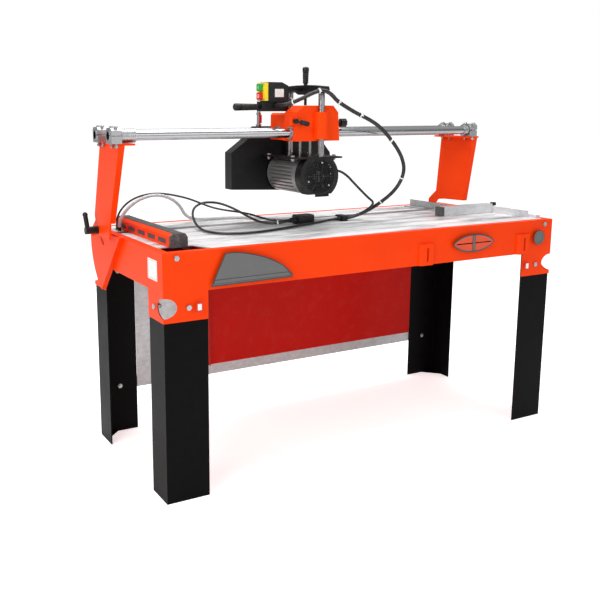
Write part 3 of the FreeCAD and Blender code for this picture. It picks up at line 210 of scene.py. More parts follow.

# ---------------------------------------------------------------- galvanised sheet
# The table planks, the supports, the rear rail and the fence are hot-dip galvanised: a pale
# spangle, drawn along X, with white wet-cutting residue and grey rubbed tracks. On the planks the
# white film is heavy: partly residue, partly painted brightness for their strongly lit tops.


def build_zinc():
    """Galvanised sheet: spangle, rolling streaks, a pale film that is slurry residue and painted
    brightness, and rubbed tracks.
    """
    group, given, made = surface_group(
        "galvanised_sheet",
        [("Colour", "NodeSocketColor", (0.6, 0.62, 0.64, 1)),
         ("Spangle", "NodeSocketFloat", 0.12),
         ("Residue and painted brightness", "NodeSocketFloat", 0.5),
         ("Gloss", "NodeSocketFloat", 0.35)],
        [("Colour", "NodeSocketColor"), ("Roughness", "NodeSocketFloat"),
         ("Normal", "NodeSocketVector"), ("Metal", "NodeSocketFloat")])
    where = place(group, "ShaderNodeTexCoord").outputs["Object"]
    soft = place(group, "ShaderNodeBevel", {"Radius": 0.0012}, samples=4)
    flake = place(group, "ShaderNodeTexVoronoi", {"Vector": where, "Scale": 85.0})
    grey = place(group, "ShaderNodeSeparateColor", {"Color": flake.outputs["Color"]})
    shade = ranged(group, grey.outputs[0], 0.0, 1.0, 0.86, 1.08)
    even = place(group, "ShaderNodeMix", {0: given.outputs["Spangle"], "A": 1.0, "B": shade})
    stretch = place(group, "ShaderNodeMapping", {"Vector": where, "Scale": (1.4, 26.0, 26.0)})
    streak = noise(group, stretch.outputs[0], 9.0, 6.0, 0.7)
    band = ranged(group, streak, 0.3, 0.7, 0.86, 1.08)
    both = reckon(group, "MULTIPLY", even.outputs[0], band)
    body = blended(group, 1.0, given.outputs["Colour"], both, "MULTIPLY")
    # the pale film: slurry residue, and on the planks also painted brightness
    pools = place(group, "ShaderNodeMapping", {"Vector": where, "Scale": (1.3, 6.0, 5.0)})
    chalk = ranged(group, noise(group, pools.outputs[0], 2.2, 9.0, 0.68), 0.36, 0.6)
    film = reckon(group, "MULTIPLY", chalk, given.outputs["Residue and painted brightness"])
    residue_and_brightness_colour = blended(group, film, body, (0.74, 0.74, 0.74, 1))
    matt = ranged(group, film, 0.0, 1.0, 0.0, 0.4)
    fine = ranged(group, grey.outputs[1], 0.0, 1.0, -0.07, 0.07)
    rough = reckon(group, "ADD", given.outputs["Gloss"], matt)
    whole = reckon(group, "ADD", rough, fine, clamp=True)
    bare = reckon(group, "SUBTRACT", 0.9, film, clamp=True)
    give(group, made, residue_and_brightness_colour, whole, streak, 0.18, 0.0004, soft)
    group.links.new(bare, made.inputs["Metal"])
    return group


galvanised_sheet = build_zinc()
# the planks' heavy pale film is partly residue and partly painted brightness for their strongly lit
# tops
plank_zinc_painted_bright = finish("galvanised planks, painted brightness", galvanised_sheet,
                    {"Colour": (0.56, 0.57, 0.59, 1), "Spangle": 0.45, "Residue and painted brightness": 0.8,
                     "Gloss": 0.36})
rail_zinc = finish("galvanised rail", galvanised_sheet,
                   {"Colour": (0.5, 0.53, 0.54, 1), "Spangle": 0.8, "Residue and painted brightness": 0.1,
                    "Gloss": 0.4})
coat_node(plank_zinc_painted_bright, "table_front", "table_rear")
coat_node(rail_zinc, "table_supports", "rear_rail", "pivot_bracket")
fence_zinc = finish("galvanised fence", galvanised_sheet,
                    {"Colour": (0.74, 0.76, 0.78, 1), "Spangle": 0.6, "Residue and painted brightness": 0.45,
                     "Gloss": 0.36})
coat_node(fence_zinc, "fence_slider", "fence_rail")

# ---------------------------------------------------------------- bright metal
# The bridge tubes and head columns are hard chromed and ground. Saddles, collars and bushes are
# turned or cast aluminium, and bolts are zinc plated.


def build_bright():
    """Ground and plated metal: fine lines along one axis, smudges and soft edges."""
    group, given, made = surface_group(
        "ground_metal",
        [("Colour", "NodeSocketColor", (0.75, 0.76, 0.77, 1)),
         ("Gloss", "NodeSocketFloat", 0.12),
         ("Lines", "NodeSocketVector", (2.0, 60.0, 60.0)),
         ("Line depth", "NodeSocketFloat", 0.05),
         ("Smudge", "NodeSocketFloat", 0.1)],
        [("Colour", "NodeSocketColor"), ("Roughness", "NodeSocketFloat"),
         ("Normal", "NodeSocketVector")])
    where = place(group, "ShaderNodeTexCoord").outputs["Object"]
    soft = place(group, "ShaderNodeBevel", {"Radius": 0.0009}, samples=4)
    lay = place(group, "ShaderNodeVectorMath", {0: where, 1: given.outputs["Lines"]},
                operation="MULTIPLY")
    lines = noise(group, lay.outputs[0], 14.0, 3.0)
    smear = ranged(group, noise(group, where, 17.0, 6.0, 0.65), 0.45, 0.75)
    film = reckon(group, "MULTIPLY", smear, given.outputs["Smudge"])
    tinted = blended(group, film, given.outputs["Colour"], (0.22, 0.215, 0.2, 1))
    rough = reckon(group, "ADD", given.outputs["Gloss"], film, clamp=True)
    give(group, made, tinted, rough, lines, given.outputs["Line depth"], 0.0004, soft)
    return group


ground_metal = build_bright()
tube_chrome = finish("chromed tube", ground_metal,
                     {"Colour": (0.44, 0.445, 0.46, 1), "Gloss": 0.11, "Lines": (1.0, 40.0, 40.0),
                      "Line depth": 0.06, "Smudge": 0.14}, Metallic=1.0)
column_chrome = finish("chromed column", ground_metal,
                       {"Colour": (0.48, 0.485, 0.5, 1), "Gloss": 0.12, "Lines": (40.0, 40.0, 1.0),
                        "Line depth": 0.06, "Smudge": 0.2}, Metallic=1.0)
cast_metal = finish("cast aluminium", ground_metal,
                    {"Colour": (0.5, 0.51, 0.52, 1), "Gloss": 0.3, "Lines": (9.0, 9.0, 9.0),
                     "Line depth": 0.45, "Smudge": 0.35}, Metallic=1.0)
bolt_zinc = finish("zinc bolts", ground_metal,
                   {"Colour": (0.5, 0.51, 0.53, 1), "Gloss": 0.25, "Lines": (20.0, 20.0, 20.0),
                    "Line depth": 0.15, "Smudge": 0.35}, Metallic=1.0)
shaft_steel = finish("turned steel", ground_metal,
                     {"Colour": (0.4, 0.4, 0.41, 1), "Gloss": 0.28, "Lines": (30.0, 3.0, 30.0),
                      "Line depth": 0.3, "Smudge": 0.4}, Metallic=1.0)
coat_node(tube_chrome, "tube_front", "tube_rear")
coat_node(column_chrome, "guide_columns")
coat_node(cast_metal, "tube_saddles", "end_collars", "slide_bushes")
coat_node(bolt_zinc, "frame_fasteners", "saddle_bolts", "plate_bolts")
coat_node(shaft_steel, "arbor", "water_valve", "cable_gland")

# ---------------------------------------------------------------- badges on the apron
# Blank plates: a wedge-shaped badge, a pointed oval, a round disc and three stickers. Each is a
# thin printed sheet with a raised rim, pressed onto the coat.


def build_print():
    """Printed sheet and moulded plastic: grain, scuffs and soft edges."""
    group, given, made = surface_group(
        "moulded_skin",
        [("Colour", "NodeSocketColor", (0.4, 0.4, 0.4, 1)),
         ("Scuff colour", "NodeSocketColor", (0.5, 0.5, 0.5, 1)),
         ("Scuff", "NodeSocketFloat", 0.2),
         ("Gloss", "NodeSocketFloat", 0.4),
         ("Grain scale", "NodeSocketFloat", 900.0),
         ("Grain depth", "NodeSocketFloat", 0.2)],
        [("Colour", "NodeSocketColor"), ("Roughness", "NodeSocketFloat"),
         ("Normal", "NodeSocketVector")])
    where = place(group, "ShaderNodeTexCoord").outputs["Object"]
    soft = place(group, "ShaderNodeBevel", {"Radius": 0.001}, samples=4)
    mark = ranged(group, noise(group, where, 42.0, 7.0, 0.72), 0.5, 0.72)
    film = reckon(group, "MULTIPLY", mark, given.outputs["Scuff"])
    shade = blended(group, film, given.outputs["Colour"], given.outputs["Scuff colour"])
    matt = reckon(group, "MULTIPLY", film, 0.3)
    rough = reckon(group, "ADD", given.outputs["Gloss"], matt, clamp=True)
    grain = noise(group, where, given.outputs["Grain scale"], 3.0)
    give(group, made, shade, rough, grain, given.outputs["Grain depth"], 0.0004, soft)
    return group


moulded_skin = build_print()
badge_grey = finish("badge grey", moulded_skin,
                    {"Colour": (0.115, 0.117, 0.12, 1), "Scuff colour": (0.17, 0.17, 0.17, 1),
                     "Gloss": 0.35, "Grain scale": 500.0, "Grain depth": 0.05})
badge_dark = finish("badge border", moulded_skin,
                    {"Colour": (0.03, 0.03, 0.032, 1), "Scuff colour": (0.12, 0.12, 0.12, 1),
                     "Gloss": 0.35, "Grain scale": 500.0, "Grain depth": 0.05})
sticker_white = finish("white sticker", moulded_skin,
                       {"Colour": (0.78, 0.78, 0.76, 1), "Scuff colour": (0.5, 0.49, 0.46, 1),
                        "Gloss": 0.4, "Grain depth": 0.03})
sticker_red = finish("red sticker", moulded_skin,
                     {"Colour": (0.62, 0.012, 0.01, 1), "Scuff colour": (0.6, 0.1, 0.08, 1),
                      "Gloss": 0.35, "Grain depth": 0.03})
slot_red = finish("badge orange", moulded_skin,
                  {"Colour": (0.7, 0.06, 0.01, 1), "Scuff colour": (0.4, 0.08, 0.03, 1),
                   "Gloss": 0.35, "Grain depth": 0.03})
apron_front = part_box("frame_tray")[0][1]
tray_left, tray_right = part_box("frame_tray")[0][0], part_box("frame_tray")[1][0]


def start_piece(name, points, faces):
    """A new mesh object, alone in the selection and ready for edit mode."""
    mesh = bpy.data.meshes.new(name)
    mesh.from_pydata(points, [], faces)
    mesh.update()
    piece = bpy.data.objects.new(name, mesh)
    bpy.context.scene.collection.objects.link(piece)
    bpy.ops.object.select_all(action="DESELECT")
    bpy.context.view_layer.objects.active = piece
    piece.select_set(True)
    return piece


def pressed_badge(name, outline, rims, skins, thickness=0.0008, facing=(0, -1, 0)):
    """A thin sheet from an outline, with one or more inset rims in their own colours."""
    piece = start_piece(name, outline, [list(range(len(outline)))])
    for skin in skins:
        piece.data.materials.append(skin)
    bpy.ops.object.mode_set(mode="EDIT")
    bpy.ops.mesh.select_all(action="SELECT")
    bpy.ops.mesh.normals_make_consistent(inside=False)
    shape = bmesh.from_edit_mesh(piece.data)
    for face in shape.faces:
        if face.normal.dot(Vector(facing)) < 0:
            face.normal_flip()
    bmesh.update_edit_mesh(piece.data)
    bpy.ops.mesh.extrude_region_move(TRANSFORM_OT_translate={
        "value": tuple(thickness * 0.6 * n for n in facing)})
    for step, rim in enumerate(rims):
        bpy.ops.mesh.inset(thickness=rim, depth=-0.0002 if step else 0.0002,
                           use_boundary=True)
        piece.active_material_index = min(step + 1, len(skins) - 1)
        bpy.ops.object.material_slot_assign()
    bpy.ops.mesh.select_all(action="SELECT")
    bpy.ops.mesh.normals_make_consistent(inside=False)
    bpy.ops.object.mode_set(mode="OBJECT")
    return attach(piece, "root")


def corners(left, right, y, low, high):
    """The four corners of an upright plate that faces front."""
    return [(left, y, low), (right, y, low), (right, y, high), (left, y, high)]


wedge = [(-0.619, 0.686), (-0.569, 0.788), (-0.535, 0.7885), (-0.501, 0.784), (-0.461, 0.7745),
         (-0.421, 0.762), (-0.391, 0.7485), (-0.361, 0.732), (-0.327, 0.700), (-0.327, 0.690)]
name_badge = pressed_badge("name_badge", [(x, apron_front, z) for x, z in wedge],
                           [0.0035, 0.003], [badge_dark, badge_grey, badge_grey])
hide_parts("labels")
pressed_badge("name_badge_band",
              [(x, apron_front - 0.0007, z) for x, z in
               [(-0.611, 0.6935), (-0.606, 0.7065), (-0.343, 0.7085), (-0.334, 0.700),
                (-0.333, 0.6955)]],
              [0.0016], [badge_dark, badge_grey])

oval_middle = 0.448
oval_height = 0.739
oval = []
for step in range(24):
    turn = 2 * math.pi * step / 24
    half_width = 0.098 * math.cos(turn)
    rise = 0.033 * math.copysign(abs(math.sin(turn)) ** 1.25, math.sin(turn))
    oval.append((oval_middle + half_width, apron_front, oval_height + rise))
pressed_badge("oval_badge", oval, [0.003, 0.003, 0.006],
              [badge_dark, badge_grey, slot_red, slot_red])
pressed_badge("oval_badge_bar",
              corners(oval_middle - 0.007, oval_middle + 0.007, apron_front - 0.0006,
                      oval_height - 0.029, oval_height + 0.029),
              [0.0018], [badge_dark, badge_grey])

disc = []
for step in range(32):
    turn = 2 * math.pi * step / 32
    disc.append((0.782 + 0.028 * math.cos(turn), apron_front, 0.734 + 0.028 * math.sin(turn)))
pressed_badge("round_badge", disc, [0.002, 0.007, 0.002],
              [badge_dark, badge_grey, badge_dark, badge_grey])

for side, middle in (("left", tray_left + 0.115), ("right", tray_right - 0.135)):
    pressed_badge("lift_sticker_" + side,
                  corners(middle - 0.011, middle + 0.011, apron_front, 0.614, 0.642),
                  [0.0042], [sticker_red, sticker_white])
pressed_badge("end_sticker",
              [(tray_left, -0.285, 0.708), (tray_left, -0.210, 0.708),
               (tray_left, -0.210, 0.772), (tray_left, -0.285, 0.772)],
              [0.004, 0.001], [sticker_white, badge_grey, sticker_white],
              facing=(-1, 0, 0))

# ---------------------------------------------------------------- stop bar
# The tile stop across the left end: an orange wedge-sided bar under a dark ribbed pad, with
# moulded caps on its ends.
stop_dark = finish("stop pad", moulded_skin,
                   {"Colour": (0.055, 0.056, 0.058, 1), "Scuff colour": (0.28, 0.28, 0.27, 1),
                    "Scuff": 0.5, "Gloss": 0.55, "Grain scale": 420.0, "Grain depth": 0.7})
black_plastic = finish("black plastic", moulded_skin,
                       {"Colour": (0.005, 0.005, 0.0055, 1), "Scuff colour": (0.06, 0.06, 0.06, 1),
                        "Scuff": 0.3, "Gloss": 0.36, "Grain scale": 1100.0,
                        "Grain depth": 0.25},
                       Specular_IOR_Level=0.35)
coat_node(orange_coat, "stop_bar")
coat_node(stop_dark, "stop_bar_caps")
bar_low, bar_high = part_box("stop_bar")


def break_edges(offset, segments):
    """Bevels every edge of the active piece."""
    bpy.ops.object.mode_set(mode="EDIT")
    bpy.ops.mesh.select_all(action="SELECT")
    bpy.ops.mesh.bevel(offset=offset, segments=segments, affect="EDGES")
    bpy.ops.object.mode_set(mode="OBJECT")


def trim_block(name, low, high, bevel, skin, body="root"):
    """A rounded moulding between two corners, from a primitive with its edges broken."""
    middle = [(a + b) / 2 for a, b in zip(low, high)]
    bpy.ops.object.select_all(action="DESELECT")
    bpy.ops.mesh.primitive_cube_add(size=1.0, location=middle)
    piece = bpy.context.object
    piece.name = name
    piece.scale = [b - a for a, b in zip(low, high)]
    bpy.ops.object.transform_apply(location=True, rotation=True, scale=True)
    break_edges(bevel, 3)
    piece.data.materials.append(skin)
    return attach(piece, body)


pad_left = bar_low[0] + 0.0125
pad_right = bar_high[0] - 0.0085
rib_pitch = 0.0119
ribs = trim_block("stop_pad_ribs", (pad_left, bar_low[1] + 0.004, bar_high[2] - 0.0004),
                  (pad_right, bar_low[1] + 0.004 + 0.0085, bar_high[2] + 0.0022), 0.0009,
                  stop_dark)
bpy.ops.object.select_all(action="DESELECT")
ribs.select_set(True)
bpy.context.view_layer.objects.active = ribs
row = ribs.modifiers.new("row", "ARRAY")
row.count = 39
row.use_relative_offset = False
row.use_constant_offset = True
row.constant_offset_displace = (0, rib_pitch, 0)
bpy.ops.object.modifier_apply(modifier="row")

for number in range(5):
    window_y = bar_low[1] + 0.03 + number * 0.09
    trim_block("stop_window_" + str(number + 1),
               (bar_low[0] - 0.0009, window_y, bar_low[2] + 0.009),
               (bar_low[0] + 0.0006, window_y + 0.062, bar_low[2] + 0.024), 0.0004,
               stop_dark)

# ---------------------------------------------------------------- moulded and coated parts
# What is left of the CAD nodes: the carriage casting, head plates, guard, levers, knobs, switch,
# pump and connectors, each in its own finish.
casting_coat = finish("casting coat", sprayed_coat,
                      {"Colour": (0.9, 0.055, 0.001, 1), "Edge colour": (0.95, 0.2, 0.03, 1),
                       "Edge wear": 0.5, "Gloss": 0.32, "Peel scale": 240.0, "Peel depth": 0.25,
                       "Dust": 0.015},
                      Coat_Weight=0.03, Coat_Roughness=0.1, Specular_IOR_Level=0.1)
guard_coat = finish("black guard coat", sprayed_coat,
                    {"Colour": (0.004, 0.004, 0.005, 1), "Edge colour": (0.15, 0.15, 0.16, 1),
                     "Edge wear": 0.6, "Gloss": 0.36, "Peel scale": 260.0, "Peel depth": 0.25,
                     "Dust": 0.012},
                    Specular_IOR_Level=0.3)
motor_cast = finish("motor casting", sprayed_coat,
                    {"Colour": (0.3, 0.305, 0.31, 1), "Edge colour": (0.6, 0.6, 0.6, 1),
                     "Edge wear": 0.6, "Gloss": 0.32, "Peel scale": 520.0, "Peel depth": 0.35,
                     "Dust": 0.06},
                    Metallic=0.6)
grip_rubber = finish("grip rubber", moulded_skin,
                     {"Colour": (0.006, 0.006, 0.006, 1), "Scuff colour": (0.06, 0.06, 0.06, 1),
                      "Scuff": 0.4, "Gloss": 0.45, "Grain scale": 700.0, "Grain depth": 0.4},
                     Specular_IOR_Level=0.35)
cap_grey = finish("cap grey", moulded_skin,
                  {"Colour": (0.06, 0.062, 0.064, 1), "Scuff colour": (0.2, 0.2, 0.2, 1),
                   "Gloss": 0.4, "Grain depth": 0.2})
switch_yellow = finish("switch yellow", moulded_skin,
                       {"Colour": (0.86, 0.66, 0.015, 1), "Scuff colour": (0.6, 0.5, 0.1, 1),
                        "Scuff": 0.2, "Gloss": 0.33, "Grain depth": 0.12}, IOR=1.46)
start_green = finish("start green", moulded_skin,
                     {"Colour": (0.01, 0.33, 0.05, 1), "Scuff colour": (0.1, 0.4, 0.12, 1),
                      "Gloss": 0.3, "Grain depth": 0.05})
stop_red = finish("stop red", moulded_skin,
                  {"Colour": (0.65, 0.01, 0.012, 1), "Scuff colour": (0.7, 0.15, 0.1, 1),
                   "Gloss": 0.3, "Grain depth": 0.05})
coat_node(casting_coat, "carriage_casting")
coat_node(guard_coat, "blade_guard", "motor_plate", "yoke", "handle_bracket")
coat_node(motor_cast, "motor_body")
coat_node(black_plastic, "fan_cover", "switch_box", "tilt_lever", "carriage_lock", "height_lock",
          "fence_knob", "sleeve_cuff", "inline_connector", "pump", "top_grip", "side_grip")
coat_node(grip_rubber, "splash_flap")
coat_node(cap_grey, "fence_cap")
coat_node(switch_yellow, "switch_face")
coat_node(start_green, "start_button")
coat_node(stop_red, "stop_button", "valve_lever")

# ---------------------------------------------------------------- grips
# Two turned-looking plastic grips: an upright one on the yoke and the pull grip beside the
# switch, each with finger rings and a domed end.


def turned(name, profile, centre, axis, body, skin, steps=40):
    """A round piece spun from a profile of (radius, distance along the axis)."""
    along = Vector(axis)
    side = Vector((0, 0, 1)) if abs(along.z) < 0.5 else Vector((1, 0, 0))
    points = [tuple(Vector(centre) + along * t + side * r) for r, t in profile]
    piece = start_piece(name, points, [])
    shape = bmesh.new()
    shape.from_mesh(piece.data)
    shape.verts.ensure_lookup_table()
    for first, second in zip(shape.verts[:-1], shape.verts[1:]):
        shape.edges.new((first, second))
    shape.to_mesh(piece.data)
    shape.free()
    bpy.ops.object.mode_set(mode="EDIT")
    bpy.ops.mesh.select_all(action="SELECT")
    bpy.ops.mesh.spin(steps=steps, angle=2 * math.pi, center=centre, axis=axis)
    bpy.ops.mesh.select_all(action="SELECT")
    bpy.ops.mesh.remove_doubles(threshold=0.00002)
    bpy.ops.mesh.normals_make_consistent(inside=False)
    bpy.ops.object.mode_set(mode="OBJECT")
    piece.data.materials.append(skin)
    bpy.ops.object.shade_smooth_by_angle(angle=math.radians(35))
    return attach(piece, body)


def ringed_grip(length, neck, foot, head):
    """Profile of a grip that widens to its end, with five finger rings and a dome."""
    profile = [(0.0, 0.0), (neck, 0.0), (neck, 0.006), (foot - 0.001, 0.0062), (foot, 0.008)]
    for ring in range(5):
        start = 0.012 + ring * (length - 0.03) / 5
        radius = foot + (head - foot) * start / length
        profile += [(radius, start), (radius - 0.0009, start + 0.0012),
                    (radius - 0.0009, start + 0.0032), (radius, start + 0.0044)]
    profile += [(head, length - 0.008), (head * 0.93, length - 0.004),
                (head * 0.72, length - 0.0012), (head * 0.35, length), (0.0, length)]
    return profile


low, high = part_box("top_grip")
upright_grip = turned("upright_grip", ringed_grip(high[2] - low[2], 0.007, 0.0098, 0.0118),
                      ((low[0] + high[0]) / 2, (low[1] + high[1]) / 2, low[2]), (0, 0, 1), "head",
                      grip_rubber)
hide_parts("top_grip")
low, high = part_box("side_grip")
pull_grip = turned("pull_grip", ringed_grip(high[0] - low[0], 0.008, 0.0108, 0.0128),
                   (high[0], (low[1] + high[1]) / 2, (low[2] + high[2]) / 2), (-1, 0, 0), "head",
                   grip_rubber)
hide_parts("side_grip")

# ---------------------------------------------------------------- fan grille
# The pressed grille in the front of the fan cover: a round sheet full of small square holes,
# held by a rolled ring and three screws.
low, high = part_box("fan_cover")
cover_middle = ((low[0] + high[0]) / 2, low[1], (low[2] + high[2]) / 2)
grille_radius = 0.0605
bpy.ops.object.select_all(action="DESELECT")
bpy.ops.mesh.primitive_grid_add(x_subdivisions=30, y_subdivisions=30, size=2 * grille_radius,
                                location=(cover_middle[0], low[1] - 0.0004, cover_middle[2]),
                                rotation=(math.pi / 2, 0, 0))
fan_grille = bpy.context.object
fan_grille.name = "fan_grille"
bpy.ops.object.transform_apply(location=True, rotation=True, scale=True)
mesh_sheet = bmesh.new()
mesh_sheet.from_mesh(fan_grille.data)
middle = Vector((cover_middle[0], low[1] - 0.0004, cover_middle[2]))
outside = [f for f in mesh_sheet.faces
           if (f.calc_center_median() - middle).length > grille_radius - 0.002]
bmesh.ops.delete(mesh_sheet, geom=outside, context="FACES")
mesh_sheet.to_mesh(fan_grille.data)
mesh_sheet.free()
wires = fan_grille.modifiers.new("wires", "WIREFRAME")
wires.thickness = 0.0013
wires.use_even_offset = False
bpy.ops.object.modifier_apply(modifier="wires")
fan_grille.data.materials.append(black_plastic)
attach(fan_grille, "head")
ring_profile = [(0.0585, 0.0), (0.0590, -0.0016), (0.0606, -0.0024), (0.0622, -0.0016),
                (0.0626, 0.0), (0.0626, 0.001), (0.0585, 0.001), (0.0585, 0.0)]
turned("grille_ring", ring_profile, cover_middle, (0, 1, 0), "head", black_plastic,
       steps=64)
screw_profile = [(0.0, -0.0030), (0.0008, -0.0030), (0.0012, -0.0022), (0.0024, -0.0028),
                 (0.0036, -0.0020), (0.0040, 0.0), (0.0040, 0.0012), (0.0, 0.0012)]
for number in range(3):
    turn = math.radians(200 + 120 * number)
    turned("cover_screw_" + str(number + 1), screw_profile,
           (cover_middle[0] + 0.0505 * math.cos(turn) * 0.97, low[1] - 0.001,
            cover_middle[2] + 0.0505 * math.sin(turn) * 0.97),
           (0, 1, 0), "head", bolt_zinc, steps=20)

# ---------------------------------------------------------------- switch
# Raised marks on the two buttons, four screws at the corners of the face and a printed plate on the
# front of the box.
for button, skin, mark in (("start_button", start_green, "bar"), ("stop_button", stop_red, "ring")):
    low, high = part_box(button)
    middle = (low[0], (low[1] + high[1]) / 2, (low[2] + high[2]) / 2)
    if mark == "bar":
        trim_block("start_mark", (middle[0] - 0.0006, middle[1] - 0.0011, middle[2] - 0.006),
                   (middle[0] + 0.0004, middle[1] + 0.0011, middle[2] + 0.006), 0.0003,
                   sticker_white, "start_button")
    else:
        turned("stop_mark", [(0.0042, 0.0004), (0.0042, -0.0006), (0.0062, -0.0006),
                             (0.0062, 0.0004), (0.0042, 0.0004)], middle, (1, 0, 0),
               "stop_button", sticker_white, steps=28)
low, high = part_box("switch_face")
for number, (across, up) in enumerate(((0.12, 0.07), (0.88, 0.07), (0.12, 0.93), (0.88, 0.93))):
    turned("face_screw_" + str(number + 1), screw_profile,
           (low[0] + 0.0006, low[1] + across * (high[1] - low[1]),
            low[2] + up * (high[2] - low[2])),
           (1, 0, 0), "head", bolt_zinc, steps=16)
low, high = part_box("switch_box")
side_plate = pressed_badge("switch_plate",
                           corners(low[0] + 0.024, high[0] - 0.018, low[1], low[2] + 0.014,
                                   high[2] - 0.022),
                           [0.0014], [badge_grey, sticker_white])
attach(side_plate, "head")

# ---------------------------------------------------------------- leads and hoses
# The machine lead leaves the switch in a black split sleeve, is tied to the yoke, hangs in a loop
# beside the motor and goes into a cuff on the table. The motor's own cable joins it there, and
# the lead, the pump's cable and the clear hose lie loose on the planks.
lead_black = finish("black lead", moulded_skin,
                    {"Colour": (0.007, 0.007, 0.008, 1), "Scuff colour": (0.09, 0.09, 0.09, 1),
                     "Scuff": 0.45, "Gloss": 0.34, "Grain scale": 600.0, "Grain depth": 0.1})
sleeve_black = finish("split sleeve", moulded_skin,
                      {"Colour": (0.008, 0.008, 0.009, 1), "Scuff colour": (0.1, 0.1, 0.1, 1),
                       "Scuff": 0.4, "Gloss": 0.3, "Grain scale": 700.0, "Grain depth": 0.08})
hose_clear = finish("clear hose", moulded_skin,
                    {"Colour": (0.72, 0.73, 0.74, 1), "Scuff colour": (0.8, 0.8, 0.8, 1),
                     "Scuff": 0.3, "Gloss": 0.12, "Grain depth": 0.02},
                    Transmission_Weight=0.25, IOR=1.4)
tie_white = finish("cable tie", moulded_skin,
                   {"Colour": (0.8, 0.8, 0.79, 1), "Scuff colour": (0.6, 0.6, 0.58, 1),
                    "Gloss": 0.35, "Grain depth": 0.02})


def lay_spline(name, route):
    """A cord's centreline: one smooth spline that the route's points steer."""
    curve = bpy.data.curves.new(name, "CURVE")
    curve.dimensions = "3D"
    line = curve.splines.new("NURBS")
    line.points.add(len(route) - 1)
    for point, place_on in zip(line.points, route):
        point.co = (*place_on, 1.0)
    line.order_u = 3
    line.use_endpoint_u = True
    curve.resolution_u = 14
    piece = bpy.data.objects.new(name, curve)
    bpy.context.scene.collection.objects.link(piece)
    return piece


def centreline(route):
    """The points that the spline passes, read from the curve itself."""
    guide = lay_spline("guide", route)
    view = bpy.context.evaluated_depsgraph_get()
    shape = bpy.data.meshes.new_from_object(guide.evaluated_get(view))
    line = [v.co.copy() for v in shape.vertices]
    bpy.data.objects.remove(guide)
    bpy.data.meshes.remove(shape)
    return line


def run_length(line):
    """Length along a line of points."""
    return sum((b - a).length for a, b in zip(line[:-1], line[1:]))


def evenly(line, step):
    """The same line in equal steps."""
    total = run_length(line)
    count = max(int(total / step), 4)
    spaced = [line[0]]
    travelled = 0.0
    index = 0
    for number in range(1, count):
        wanted = total * number / count
        while travelled + (line[index + 1] - line[index]).length < wanted:
            travelled += (line[index + 1] - line[index]).length
            index += 1
        span = (line[index + 1] - line[index]).length
        spaced.append(line[index].lerp(line[index + 1], (wanted - travelled) / span))
    return spaced + [line[-1]]


def sleeve(name, line, radius, skin, pitch=0.0, depth=0.0, sides=14):
    """A tube swept along a line, ringed like a split sleeve where it has a pitch."""
    step = pitch / 4 if pitch else 0.003
    spaced = evenly(line, step)
    side = (spaced[1] - spaced[0]).orthogonal().normalized()
    points, faces = [], []
    for index, point in enumerate(spaced):
        ahead = spaced[min(index + 1, len(spaced) - 1)] - spaced[max(index - 1, 0)]
        ahead.normalize()
        side = (side - ahead * side.dot(ahead)).normalized()
        up = ahead.cross(side)
        size = radius - (depth if pitch and index % 4 in (2, 3) else 0.0)
        for corner in range(sides):
            turn = 2 * math.pi * corner / sides
            points.append(tuple(point + (side * math.cos(turn) + up * math.sin(turn)) * size))
    for index in range(len(spaced) - 1):
        for corner in range(sides):
            a = index * sides + corner
            b = index * sides + (corner + 1) % sides
            faces.append((a, b, b + sides, a + sides))
    faces.append(tuple(reversed(range(sides))))
    faces.append(tuple(range(len(points) - sides, len(points))))
    piece = start_piece(name, points, faces)
    piece.data.materials.append(skin)
    bpy.ops.object.shade_smooth_by_angle(angle=math.radians(50))
    return piece, spaced


def band_tie(name, point, ahead, radius, turn):
    """A white cable tie: a band round the bundle, its lock and its cut tail."""
    lean = ahead.to_track_quat("Z", "Y")
    bpy.ops.object.select_all(action="DESELECT")
    bpy.ops.mesh.primitive_cylinder_add(vertices=28, radius=radius, depth=0.0046,
                                        end_fill_type="NOTHING", location=point,
                                        rotation=lean.to_euler())
    band = bpy.context.object
    band.name = name
    wall = band.modifiers.new("wall", "SOLIDIFY")
    wall.thickness = 0.0013
    wall.offset = 1.0
    bpy.ops.object.modifier_apply(modifier="wall")
    out = lean @ Vector((math.cos(turn), math.sin(turn), 0))
    bpy.ops.mesh.primitive_cube_add(size=1.0, location=point + out * (radius + 0.002),
                                    rotation=lean.to_euler())
    lock = bpy.context.object
    lock.scale = (0.006, 0.0052, 0.0058)
    bpy.ops.object.transform_apply(location=False, rotation=False, scale=True)
    break_edges(0.0008, 2)
    along = lean @ Vector((-math.sin(turn), math.cos(turn), 0))
    bpy.ops.mesh.primitive_cube_add(size=1.0,
                                    location=point + out * (radius + 0.0025) + along * 0.009,
                                    rotation=(0, 0, 0))
    tail = bpy.context.object
    tail.rotation_mode = "QUATERNION"
    tail.rotation_quaternion = along.to_track_quat("X", "Z")
    tail.scale = (0.016, 0.0032, 0.0011)
    bpy.ops.object.transform_apply(location=False, rotation=False, scale=True)
    break_edges(0.0003, 1)
    for loose in (lock, tail, band):
        loose.select_set(True)
    bpy.context.view_layer.objects.active = band
    bpy.ops.object.join()
    bpy.ops.object.transform_apply(location=True, rotation=True, scale=True)
    band.data.materials.clear()
    band.data.materials.append(tie_white)
    bpy.ops.object.shade_smooth_by_angle(angle=math.radians(30))
    return band


tie_slack = 0.0002


def tie_at(name, path, share, radius, turn):
    """A cable tie at a share of the way along a cord."""
    index = int(share * (len(path) - 2))
    return band_tie(name, path[index], path[index + 1] - path[index], radius, turn)


def split_by_height(line, heights):
    """Cuts a falling line into runs at those heights. Neighbours share their end point."""
    runs, current = [], [line[0]]
    waiting = list(heights)
    for before, after in zip(line[:-1], line[1:]):
        if waiting and after.z < waiting[0] <= before.z:
            cut = before.lerp(after, (before.z - waiting[0]) / (before.z - after.z))
            current.append(cut)
            runs.append(current)
            current = [cut]
            waiting.pop(0)
        current.append(after)
    return runs + [current]


